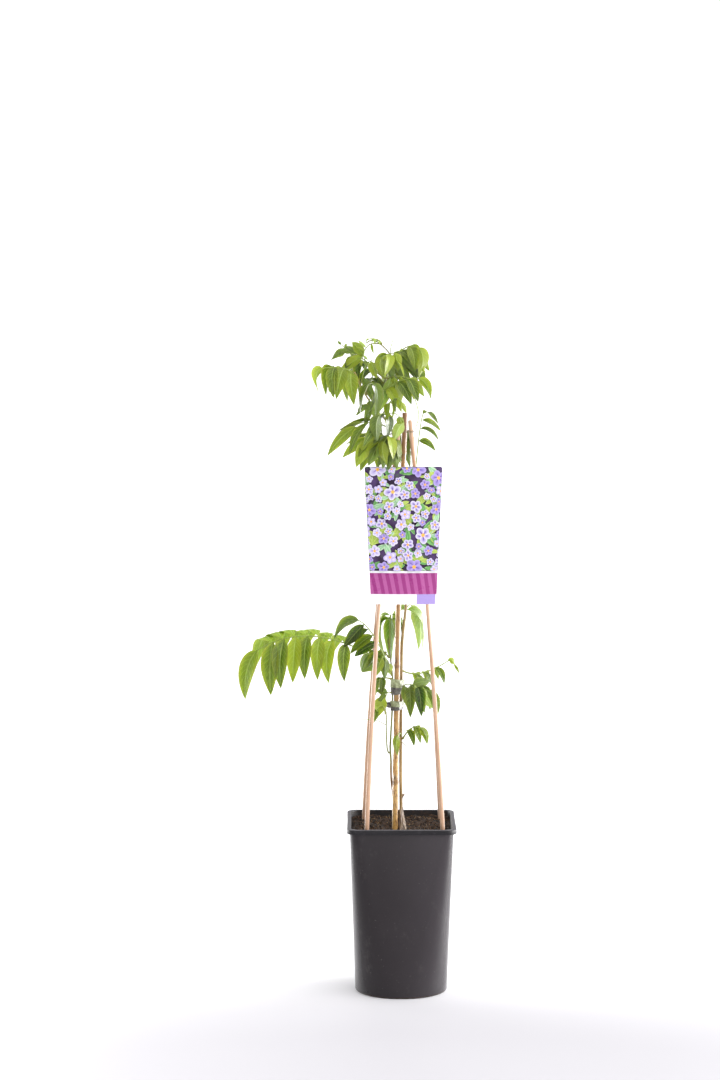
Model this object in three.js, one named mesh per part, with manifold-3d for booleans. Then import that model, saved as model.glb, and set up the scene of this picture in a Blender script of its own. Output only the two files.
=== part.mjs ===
// A young wisteria in a nursery pot: a vine tied to a bamboo stake inside a wigwam of four canes.
// Millimetres, +Z up. The origin is the centre of the pot's base, where the pot stands.
import * as THREE from "three";
import { mergeVertices } from "three/addons/utils/BufferGeometryUtils.js";
import Module from "manifold-3d";

const wasm = await Module();
wasm.setup();

// ---------------------------------------------------------------- driving dimensions
const GAP = 0.3; // between pieces that touch

const POT_HEIGHT = 217;
const POT_BASE_HALF = 58; // half the width across the base, which is almost round
const POT_BODY_HALF = 65; // half the width of the wall's top, just under the lip
const POT_LIP_HALF = 68.5;
const POT_LIP_DEPTH = 6;
const POT_LIP_EASE = 0.8; // bevel on the lip's outer edge
const POT_WALL = 1.6;
const POT_FLOOR = 2.6;
const POT_TOP_CORNER = 12; // corner radius of the square top
const POT_BASE_FLAT = 2; // what is left of each straight side at the base
const CORNER_STEPS = 7; // points round each corner
const CORNER_GROWTH = 0.8; // how soon up the wall the round base turns square
const WALL_RINGS = [0.15, 0.4, 0.7]; // levels of the wall's rings, as shares of its height
const DRAIN_RADIUS = 5;
const DRAIN_CIRCLE = 38;
const DRAIN_COUNT = 6;
const DRAIN_SIDES = 10;

const SOIL_TOP = 207; // at the middle of the pot
const SOIL_SLOPE = 0.045; // how much the soil rises towards the back
const SOIL_LUMP = 2.2;
const SOIL_EDGE_EASE = 0.3; // more room between its uneven edge and the pot's wall
const SOIL_RINGS = [0.86, 0.68, 0.46, 0.22]; // rings of its uneven top, as shares of its width

const STAKE_RADIUS = 3.7;
const STAKE_BUTT = 1.07; // the stake's thickness at its foot and tip, as shares of its radius
const STAKE_TIP = 0.92;
const STAKE_SIDES = 10;
const CANE_RADIUS = 3.0;
const CANE_TIP_RADIUS = 2.3;
const CANE_STEPS = 7;
const CANE_SIDES = 8;
const STEM_EASE = 0.1; // room round a bent stem, on top of the gap
const ROOT_FLARE = 2.4; // how much thicker the vine is at its buried end
const ROOT_FLARE_END = 0.075; // share of the vine's length at which the flare has run out

const LABEL_THICKNESS = 0.8;
const LABEL_BOTTOM = 497;
const LABEL_TOP = 666;
const LABEL_TOP_WIDTH = 97;
const LABEL_BOTTOM_WIDTH = 81;
const LABEL_CENTRE_X = 2;
const LABEL_BOW = 2.5; // how far the card's sides curl back behind its middle

const TAPE_HEIGHT = 11;
const TAPE_THICKNESS = 1.1;
const BAND_EASE = 0.35; // room for the lean and bow of what a band ties
const BAND_STEPS = 22; // points round a band
const UPPER_TAPE_LEVEL = 385;
const LOWER_TAPE_LEVEL = 359;
const WIRE_TIE_LEVEL = 709;
const WIRE_TIE_HEIGHT = 1.6;
const WIRE_TIE_THICKNESS = 1.3;

const LEAF_THICKNESS = 1.2; // at the midrib, thinning to the edge
const STALK_RADIUS = 1.15; // a frond's stalk where it leaves the stem
const STALK_TIP_RADIUS = 0.65;
const STALK_STEPS = 4;
const STALK_SIDES = 4;
const LAST_PAIR = 0.96; // where along the stalk the pairs of leaflets would end
const LONE_PAIR = 0.3; // how far from the first place to the last a single pair stands
const PAIR_STAGGER = 0.008; // a pair's two leaflets stand this share of the stalk off its middle
const END_SINK = 1.5; // the leaflet at the tip starts this far inside the stalk

// ---------------------------------------------------------------- colours
const PLASTIC = { color: 0x3f3b3f, roughness: 0.5 };
const SOIL = { color: 0x35241b, roughness: 1.0 };
const CANE = { color: 0xead2b8, roughness: 0.7 };
const BAMBOO = { color: 0xc79a55, roughness: 0.55 };
const BARK = { color: 0x8b6a4a, roughness: 0.85 };
const GREEN_STEM = { color: 0x66743a, roughness: 0.6 };
const TAPE = { color: 0x9fa78c, roughness: 0.6 };
const CARD = { color: 0x4a3358, roughness: 0.35 };
const LEAF = { color: 0x86a32c, roughness: 0.55 };
const YOUNG_LEAF = { color: 0xb5cf62, roughness: 0.55 };
const DARK_LEAF = { color: 0x56701f, roughness: 0.55 };

// ---------------------------------------------------------------- solids
// A closed geometry as a solid that can be cut and joined.
function solid(geometry) {
  geometry.deleteAttribute("normal");
  geometry.deleteAttribute("uv");
  const merged = mergeVertices(geometry, 1e-3);
  const corners = merged.index.array;
  const kept = [];
  for (let i = 0; i < corners.length; i += 3) {
    const [a, b, c] = corners.slice(i, i + 3);
    if (a !== b && b !== c && c !== a) kept.push(a, b, c);
  }
  return new wasm.Manifold(
    new wasm.Mesh({
      numProp: 3,
      vertProperties: new Float32Array(merged.attributes.position.array),
      triVerts: new Uint32Array(kept),
    }),
  );
}

const wisteria = new THREE.Group();

// Turns a solid into a named mesh of the plant.
function piece(name, body, finish) {
  const mesh = body.getMesh();
  const geometry = new THREE.BufferGeometry();
  geometry.setAttribute("position", new THREE.BufferAttribute(mesh.vertProperties, 3));
  geometry.setIndex(new THREE.BufferAttribute(mesh.triVerts, 1));
  geometry.computeVertexNormals();
  const material = new THREE.MeshStandardMaterial({ metalness: 0, ...finish });
  const made = new THREE.Mesh(geometry, material);
  made.name = name;
  wisteria.add(made);
}

const at = (x, y, z) => new THREE.Vector3(x, y, z);
const curveThrough = (points) =>
  new THREE.CatmullRomCurve3(points.map((p) => at(...p)), false, "catmullrom", 0.5);

// A rod along a curve: a cylinder whose rows are laid across the curve.
function rod(curve, steps, sides, radiusAt) {
  const frames = curve.computeFrenetFrames(steps, false);
  const geometry = new THREE.CylinderGeometry(1, 1, 1, sides, steps);
  const position = geometry.attributes.position;
  for (let i = 0; i < position.count; i++) {
    const along = 0.5 - position.getY(i);
    const row = Math.round(along * steps);
    const reach = radiusAt(along);
    const point = curve
      .getPointAt(along)
      .addScaledVector(frames.normals[row], position.getZ(i) * reach)
      .addScaledVector(frames.binormals[row], -position.getX(i) * reach);
    position.setXYZ(i, point.x, point.y, point.z);
  }
  return solid(geometry);
}

const mix = THREE.MathUtils.lerp;
const tapered = (from, to) => (along) => mix(from, to, along);

// The point of a curve that climbs all the way, at a given height.
function pointAtHeight(curve, height) {
  let low = 0;
  let high = 1;
  while (high - low > 1e-5) {
    const middle = (low + high) / 2;
    if (curve.getPointAt(middle).z < height) low = middle;
    else high = middle;
  }
  return { point: curve.getPointAt(low), tangent: curve.getTangentAt(low), along: low };
}

// ---------------------------------------------------------------- pot
const RING_POINTS = 4 * CORNER_STEPS;

// Point number k of a ring round a square with rounded corners.
function squarePoint(k, half, corner) {
  const side = Math.floor(k / CORNER_STEPS) % 4;
  const turn = (k % CORNER_STEPS) / (CORNER_STEPS - 1);
  const angle = (side + turn) * (Math.PI / 2);
  const inset = half - corner;
  const signX = side === 0 || side === 3 ? 1 : -1;
  const signY = side < 2 ? 1 : -1;
  return [signX * inset + corner * Math.cos(angle), signY * inset + corner * Math.sin(angle)];
}

const lipBottom = POT_HEIGHT - POT_LIP_DEPTH;
const wallHalf = (z) => mix(POT_BASE_HALF, POT_BODY_HALF, z / POT_HEIGHT);
const cornerAt = (z) =>
  mix(POT_BASE_HALF - POT_BASE_FLAT, POT_TOP_CORNER, (z / POT_HEIGHT) ** CORNER_GROWTH);

// A lathed profile of [half width, height] pairs, pressed from round to the pot's square.
function squareLathe(profile, heightAt = (x, y, z) => z) {
  const points = profile.map(([half, z]) => new THREE.Vector2(half, z));
  const geometry = new THREE.LatheGeometry(points, RING_POINTS);
  const position = geometry.attributes.position;
  for (let i = 0; i < position.count; i++) {
    const k = Math.floor(i / points.length) % RING_POINTS;
    const { x: half, y: z } = points[i % points.length];
    const corner = cornerAt(z) * Math.min(1, half / wallHalf(z));
    const [x, y] = half === 0 ? [0, 0] : squarePoint(k, half, corner);
    position.setXYZ(i, x, y, heightAt(x, y, z));
  }
  return solid(geometry);
}

function makePot() {
  const levels = WALL_RINGS.map((share) => share * lipBottom);
  const outside = levels.map((z) => [wallHalf(z), z]);
  const inside = levels.map((z) => [wallHalf(z) - POT_WALL, z]).reverse();
  let pot = squareLathe([
    [0, 0],
    [POT_BASE_HALF, 0],
    ...outside,
    [wallHalf(POT_HEIGHT - POT_WALL), POT_HEIGHT - POT_WALL],
    [POT_LIP_HALF - POT_WALL, POT_HEIGHT - POT_WALL],
    [POT_LIP_HALF - POT_WALL, lipBottom],
    [POT_LIP_HALF, lipBottom],
    [POT_LIP_HALF, POT_HEIGHT - POT_LIP_EASE],
    [POT_LIP_HALF - POT_LIP_EASE, POT_HEIGHT],
    [wallHalf(POT_HEIGHT) - POT_WALL, POT_HEIGHT],
    ...inside,
    [wallHalf(POT_FLOOR) - POT_WALL, POT_FLOOR],
    [0, POT_FLOOR],
  ]);
  for (let i = 0; i < DRAIN_COUNT; i++) {
    const angle = ((i + 0.5) / DRAIN_COUNT) * 2 * Math.PI;
    const drain = new THREE.CylinderGeometry(DRAIN_RADIUS, DRAIN_RADIUS, 4 * POT_FLOOR, DRAIN_SIDES);
    drain.rotateX(Math.PI / 2);
    drain.translate(DRAIN_CIRCLE * Math.cos(angle), DRAIN_CIRCLE * Math.sin(angle), 0);
    pot = pot.subtract(solid(drain));
  }
  return pot;
}

// ---------------------------------------------------------------- stake, canes and stems
// The canes stand in the pot's corners, bow a little and lean together at the top.
const CANES = {
  cane_front_left: [[-43, -47, 112], [-43.5, -50, 215], [-28.2, -40, 497], [-3, -7, 718]],
  cane_front_right: [[49, -47, 112], [51, -50, 215], [31.6, -40, 497], [10.2, -7, 723]],
  cane_back_left: [[-44, 44, 112], [-46.6, 45, 213], [-28.6, 36, 497], [-2.4, 7.6, 716]],
  cane_back_right: [[48, 44, 112], [50.6, 45, 208], [33.4, 36, 497], [9.8, 7.8, 721]],
};
const caneCurves = Object.fromEntries(
  Object.entries(CANES).map(([name, points]) => [name, curveThrough(points)]),
);
const caneRod = (curve, extra) =>
  rod(curve, CANE_STEPS, CANE_SIDES, tapered(CANE_RADIUS + extra, CANE_TIP_RADIUS + extra));

const stakeCurve = curveThrough([[-10, -13, 14], [-7.9, -10, 207], [-3.8, -5, 492], [4, 0, 732]]);
const STAKE_NODES = [0.355, 0.56, 0.765, 0.93]; // where the bamboo's rings sit along it
const NODE_SWELL = 0.45;
const NODE_CREST = 0.004; // half the length of a ring's crest, and of the whole ring
const NODE_REACH = 0.01;
function stakeRadius(along) {
  const near = Math.min(...STAKE_NODES.map((n) => Math.abs(along - n)));
  const swell = near < (NODE_CREST + NODE_REACH) / 2 ? NODE_SWELL : 0;
  return STAKE_RADIUS * mix(STAKE_BUTT, STAKE_TIP, along) + swell;
}

// The stake's rows are moved so that each ring of the bamboo has rows of its own.
function makeStake() {
  const rings = STAKE_NODES.flatMap((n) =>
    [-NODE_REACH, -NODE_CREST, NODE_CREST, NODE_REACH].map((step) => n + step));
  const stops = [0, STAKE_NODES[0] / 3, ...rings, 1];
  const frames = stakeCurve.computeFrenetFrames(1, false);
  const geometry = new THREE.CylinderGeometry(1, 1, 1, STAKE_SIDES, stops.length - 1);
  const position = geometry.attributes.position;
  for (let i = 0; i < position.count; i++) {
    const along = stops[Math.round((0.5 - position.getY(i)) * (stops.length - 1))];
    const reach = stakeRadius(along);
    const point = stakeCurve
      .getPointAt(along)
      .addScaledVector(frames.normals[0], position.getZ(i) * reach)
      .addScaledVector(frames.binormals[0], -position.getX(i) * reach);
    position.setXYZ(i, point.x, point.y, point.z);
  }
  return solid(geometry);
}

const STEMS = {
  woody_stem: {
    route: [[1, -9, 170], [0, -9, 206], [-0.3, -7.8, 244], [-0.8, -4.6, 281], [-0.6, -3.4, 332],
      [-0.2, -2.0, 383], [0.8, -1.6, 441], [5.6, -3, 491], [8.5, 3, 545], [4, 9, 605], [-5, 7, 662],
      [-11.5, -1, 706], [-20, -6, 723], [-32, -10, 736], [-42, -10, 750], [-50, -6, 763],
      [-55, -5, 775], [-59, -4, 783]],
    radius: [2.3, 1.0],
    flare: ROOT_FLARE,
    steps: 38,
    sides: 6,
  },
  green_stem: {
    route: [[-8.6, -2.6, 180], [-8.4, -2.8, 212], [-9.8, -2.8, 245], [-12.8, -7, 272],
      [-13.2, -9.4, 295], [-14, -9, 313], [-11.8, -8, 356], [-11.3, -7, 378], [-11.3, -6.4, 400], [-14, 4, 425],
      [-17, 14, 446]],
    radius: [1.7, 0.9],
    steps: 18,
    sides: 6,
  },
  crown_shoot: {
    route: [[-32.3, -12.2, 738.3], [-27, -8, 751], [-23, -2, 763], [-20, 0, 775], [-15, 0, 788],
      [-13, 0, 798], [-17, 0, 808], [-30, 0, 820], [-38, 0, 822], [-44, 0, 819]],
    radius: [1.3, 0.7],
    steps: 16,
    sides: 5,
  },
  side_shoot: {
    route: [[-15.9, -10.3, 304], [-18, -12, 312], [-19, -12, 334], [-19, -13, 352], [-21, -16, 366]],
    radius: [1.0, 0.7],
    steps: 7,
    sides: 5,
  },
};
for (const stem of Object.values(STEMS)) stem.curve = curveThrough(stem.route);
const stemRadius = (stem, along) =>
  mix(...stem.radius, along) + (stem.flare ?? 0) * Math.max(0, 1 - along / ROOT_FLARE_END);
const stemRod = (stem, extra) =>
  rod(stem.curve, stem.steps, stem.sides, (along) => stemRadius(stem, along) + extra);

// ---------------------------------------------------------------- soil
// How far the soil's slope and lumps lift its top at a point: broad lumps with smaller ones on them.
const lumps = (x, y) =>
  SOIL_SLOPE * y +
  SOIL_LUMP * Math.sin(x * 0.17 + 1.3) * Math.sin(y * 0.21 + 0.4) +
  0.5 * SOIL_LUMP * Math.sin(x * 0.41 - y * 0.33);

// The soil fills the pot, and each cane, stake and stem stands in a plain hole in it.
function makeSoil() {
  const half = (z) => wallHalf(z) - POT_WALL - GAP;
  const rim = half(SOIL_TOP) - SOIL_EDGE_EASE;
  const bottom = POT_FLOOR + GAP;
  const profile = [
    [0, bottom],
    [half(bottom), bottom],
    ...WALL_RINGS.map((share) => [half(share * lipBottom), share * lipBottom]),
    [rim, SOIL_TOP],
    ...SOIL_RINGS.map((share) => [share * rim, SOIL_TOP]),
    [0, SOIL_TOP],
  ];
  let soil = squareLathe(profile, (x, y, z) => (z < SOIL_TOP ? z : z + lumps(x, y)));
  for (const curve of Object.values(caneCurves)) soil = soil.subtract(caneRod(curve, GAP));
  const stakeHole = tapered(STAKE_RADIUS * STAKE_BUTT + GAP, STAKE_RADIUS + GAP);
  soil = soil.subtract(rod(stakeCurve, CANE_STEPS, STAKE_SIDES, stakeHole));
  soil = soil.subtract(stemRod(STEMS.woody_stem, GAP + STEM_EASE));
  return soil.subtract(stemRod(STEMS.green_stem, GAP + STEM_EASE));
}

// ---------------------------------------------------------------- ties and label
// The outline of a band drawn tight round several round rods, offset outwards.
function bandOutline(rods, offset) {
  const outline = [];
  for (let k = 0; k < BAND_STEPS; k++) {
    const angle = (k / BAND_STEPS) * 2 * Math.PI;
    const [cos, sin] = [Math.cos(angle), Math.sin(angle)];
    const reach = ({ x, y, r }) => x * cos + y * sin + r;
    const outer = rods.reduce((best, r) => (reach(r) > reach(best) ? r : best));
    const span = outer.r + offset;
    outline.push(new THREE.Vector2(outer.x + span * cos, outer.y + span * sin));
  }
  return outline;
}

function band(rods, bottom, height, thickness) {
  const shape = new THREE.Shape(bandOutline(rods, GAP + thickness));
  shape.holes.push(new THREE.Path(bandOutline(rods, GAP)));
  const geometry = new THREE.ExtrudeGeometry(shape, { depth: height, bevelEnabled: false });
  geometry.translate(0, 0, bottom);
  return solid(geometry);
}

// A round rod's section where a level band crosses it.
function section(curve, height, radius) {
  const { point } = pointAtHeight(curve, height);
  return { x: point.x, y: point.y, r: radius + BAND_EASE };
}

// What a tape ties: the stake and both stems, as they stand at its lower and its upper edge.
function tiedRods(bottom) {
  const { woody_stem: woody, green_stem: green } = STEMS;
  return [bottom, bottom + TAPE_HEIGHT].flatMap((height) => {
    const radiusOf = (stem) => stemRadius(stem, pointAtHeight(stem.curve, height).along);
    return [
      section(stakeCurve, height, STAKE_RADIUS * STAKE_BUTT),
      section(woody.curve, height, radiusOf(woody)),
      section(green.curve, height, radiusOf(green)),
    ];
  });
}

function makeTapeTie(bottom) {
  return band(tiedRods(bottom), bottom, TAPE_HEIGHT, TAPE_THICKNESS);
}

const KNOT_LEVEL = 0.55; // up the lower tape
const KNOT_HALVES = [3.4, 2.6, 3.2]; // half its width, depth and height
const KNOT_OUT = 2; // from the band to the knot's middle
const TAPE_ENDS = [[-9.5, -2, 5], [-8, 1.5, -4]]; // from the knot to the tip of each end
const TAPE_END_RADIUS = [1.5, 1.1];

// The lower tape is knotted on its left, with two short ends.
function makeKnottedTie(bottom) {
  const rods = tiedRods(bottom);
  const green = rods.at(-1);
  const left = Math.min(...rods.map(({ x, r }) => x - r)) - GAP - TAPE_THICKNESS;
  const middle = at(left - KNOT_OUT, green.y, bottom + KNOT_LEVEL * TAPE_HEIGHT);
  const knot = new THREE.SphereGeometry(1, 7, 5);
  knot.scale(...KNOT_HALVES);
  knot.translate(...middle);
  let tie = makeTapeTie(bottom).add(solid(knot));
  for (const reach of TAPE_ENDS) {
    const tip = middle.clone().add(at(...reach));
    const bend = middle.clone().lerp(tip, 0.5);
    bend.z = mix(middle.z, tip.z, 0.7);
    const end = new THREE.QuadraticBezierCurve3(middle, bend, tip);
    tie = tie.add(rod(end, 3, 5, tapered(...TAPE_END_RADIUS)));
  }
  return tie;
}

// A thin wire holds the tops of the four canes to the stake.
function makeCaneTie() {
  const rods = Object.values(caneCurves)
    .map((curve) => section(curve, WIRE_TIE_LEVEL, CANE_TIP_RADIUS));
  rods.push(section(stakeCurve, WIRE_TIE_LEVEL, STAKE_RADIUS));
  return band(rods, WIRE_TIE_LEVEL - WIRE_TIE_HEIGHT / 2, WIRE_TIE_HEIGHT, WIRE_TIE_THICKNESS);
}

// The label is a thin card that leans on the front canes and follows their bow. Its sides curl
// back a little: `curl` is how far its middle stands in front of a place across it.
function makeLabel() {
  const geometry = new THREE.BoxGeometry(1, 1, 1, 6, 1, 5);
  const position = geometry.attributes.position;
  const halfWidth = (up) => mix(LABEL_BOTTOM_WIDTH, LABEL_TOP_WIDTH, up) / 2;
  const curl = (x, up) => LABEL_BOW * ((x - LABEL_CENTRE_X) / halfWidth(up)) ** 2;
  const middleAt = (up) => {
    const touches = [caneCurves.cane_front_left, caneCurves.cane_front_right].map((curve) => {
      const { point, along } = pointAtHeight(curve, mix(LABEL_BOTTOM, LABEL_TOP, up));
      const radius = mix(CANE_RADIUS, CANE_TIP_RADIUS, along);
      return point.y - radius - GAP - STEM_EASE - curl(point.x, up);
    });
    return Math.min(...touches);
  };
  for (let i = 0; i < position.count; i++) {
    const up = position.getZ(i) + 0.5;
    const x = LABEL_CENTRE_X + 2 * position.getX(i) * halfWidth(up);
    const front = position.getY(i) < 0 ? LABEL_THICKNESS : 0;
    position.setXYZ(i, x, middleAt(up) + curl(x, up) - front, mix(LABEL_BOTTOM, LABEL_TOP, up));
  }
  return solid(geometry);
}

// ---------------------------------------------------------------- fronds
// Repeatable draws from a seed: each call gives a value within half a spread of a middle.
const DRAW_SPAN = 2 ** 32;
function drawer(seed) {
  let state = seed * 7919 + 17;
  return (middle, spread) => {
    state = (state * 1664525 + 1013904223) % DRAW_SPAN;
    return middle + spread * (state / DRAW_SPAN - 0.5);
  };
}

const bezier = (a, b, c, t) =>
  a.clone().multiplyScalar((1 - t) * (1 - t)).addScaledVector(b, 2 * t * (1 - t))
    .addScaledVector(c, t * t);
const bezierSlope = (a, b, c, t) =>
  b.clone().sub(a).multiplyScalar(1 - t).addScaledVector(c.clone().sub(b), t).normalize();

const DOWN = at(0, 0, -1);

// Rows of a leaflet from its foot to its tip: [share of the length, share of the half width].
const BLADE_ROWS = [[0, 0.1], [0.06, 0.2], [0.24, 0.87], [0.5, 0.98], [0.79, 0.52], [1, 0]];
const RIPPLE_TURNS = 9; // radians of the edge's wave along a leaflet
const RIPPLE = 0.012; // height of that wave, as a share of the leaflet's length
const LEAN = 0.42; // how far along its length a leaflet's blade points before it droops

// A leaflet: two faces of one grid that meet along its edge, folded at the midrib and waved.
function leaflet({ foot, lean, tip, across, width, fold, wave, phase }) {
  const last = BLADE_ROWS.length - 1;
  const faces = [-1, 1].map((side) => {
    const grid = new THREE.PlaneGeometry(2, last, 2, last);
    const position = grid.attributes.position;
    for (let i = 0; i < position.count; i++) {
      const [u, share] = BLADE_ROWS[Math.round(position.getY(i) + last / 2)];
      const x = position.getX(i);
      const along = bezierSlope(foot, lean, tip, u);
      const wide = across.clone().addScaledVector(along, -across.dot(along)).normalize();
      const normal = along.clone().cross(wide);
      const half = (share * width) / 2;
      const ripple = wave * share * Math.sin(phase + u * RIPPLE_TURNS + x);
      const edge = Math.abs(x);
      const skin = u === 0 || u === 1 ? 0 : (1 - edge) * (LEAF_THICKNESS / 2);
      const point = bezier(foot, lean, tip, u)
        .addScaledVector(wide, x * half)
        .addScaledVector(normal, edge * (fold * half + ripple) + side * skin);
      position.setXYZ(i, point.x, point.y, point.z);
    }
    return grid;
  });
  const [lower, upper] = faces;
  const corners = lower.index.array;
  const count = lower.attributes.position.count;
  const joined = new THREE.BufferGeometry();
  const places = [...lower.attributes.position.array, ...upper.attributes.position.array];
  joined.setAttribute("position", new THREE.BufferAttribute(new Float32Array(places), 3));
  const turned = [];
  for (let i = 0; i < corners.length; i += 3) {
    turned.push(corners[i] + count, corners[i + 2] + count, corners[i + 1] + count);
  }
  joined.setIndex([...corners, ...turned]);
  return solid(joined);
}

// A frond's stalk starts just clear of its stem's bark, on the side that faces `via`.
function frondFoot(stem, height, via) {
  const { point, tangent, along } = pointAtHeight(stem.curve, height);
  const start = via.clone().sub(point).normalize();
  const lift = start.dot(tangent);
  const away = start.addScaledVector(tangent, -lift).normalize();
  const seat = stemRadius(stem, along) + GAP + STEM_EASE + STALK_RADIUS * Math.abs(lift);
  return point.addScaledVector(away, seat);
}

// A frond: a stalk that leaves its stem, arches through `via` to `tip`, and carries pairs of
// leaflets from `bare` of its length on, with one more at its tip. `face` is the way its upper
// side looks, `sweep` turns its leaflets forward, and they hang by `droop`.
function makeFrond(frond) {
  const via = at(...frond.via);
  const tip = at(...frond.tip);
  const foot = frondFoot(STEMS[frond.stem], frond.height, via);
  const stalk = new THREE.QuadraticBezierCurve3(foot, via, tip);
  const steps = Math.ceil(frond.pairs / 2) + STALK_STEPS;
  let body = rod(stalk, steps, STALK_SIDES, tapered(STALK_RADIUS, STALK_TIP_RADIUS));

  const vary = drawer(frond.seed);
  const face = at(...frond.face).normalize();
  // side is -1 or 1 for the leaflets of a pair, and 0 for the one at the tip
  const grow = (t, side) => {
    const last = side === 0;
    const length = mix(...frond.leaf, t) * vary(1, 0.16);
    const drop = (last ? frond.endDroop ?? frond.droop : frond.droop) * vary(1, 0.24);
    const turn = vary(0, 0.5);
    const slope = bezierSlope(foot, via, tip, t);
    const sideways = slope.clone().cross(face).normalize();
    const out = last
      ? slope.clone()
      : sideways.clone().multiplyScalar(side * Math.cos(frond.sweep))
        .addScaledVector(slope, Math.sin(frond.sweep)).normalize();
    const base = bezier(foot, via, tip, t).addScaledVector(slope, last ? -END_SINK : 0);
    const reach = out.clone().multiplyScalar(Math.cos(drop)).addScaledVector(DOWN, Math.sin(drop))
      .setLength(length);
    const guide = last ? sideways : slope.clone().multiplyScalar(side);
    const across = out.clone().cross(DOWN).multiplyScalar(0.6)
      .addScaledVector(guide, last ? 0.6 : 0.5);
    across.addScaledVector(out.clone().cross(across), turn).normalize();
    body = body.add(leaflet({
      foot: base,
      lean: base.clone().addScaledVector(out, LEAN * length),
      tip: base.clone().add(reach),
      across,
      width: length * frond.slim * vary(1, 0.12),
      fold: vary(0.33, 0.3),
      wave: length * RIPPLE,
      phase: vary(3, 6),
    }));
  };
  for (let i = 0; i < frond.pairs; i++) {
    const t = mix(frond.bare, LAST_PAIR, frond.pairs === 1 ? LONE_PAIR : i / frond.pairs);
    for (const side of frond.sides ?? [-1, 1]) grow(t + side * PAIR_STAGGER, side);
  }
  grow(1, 0);
  return body;
}

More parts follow.
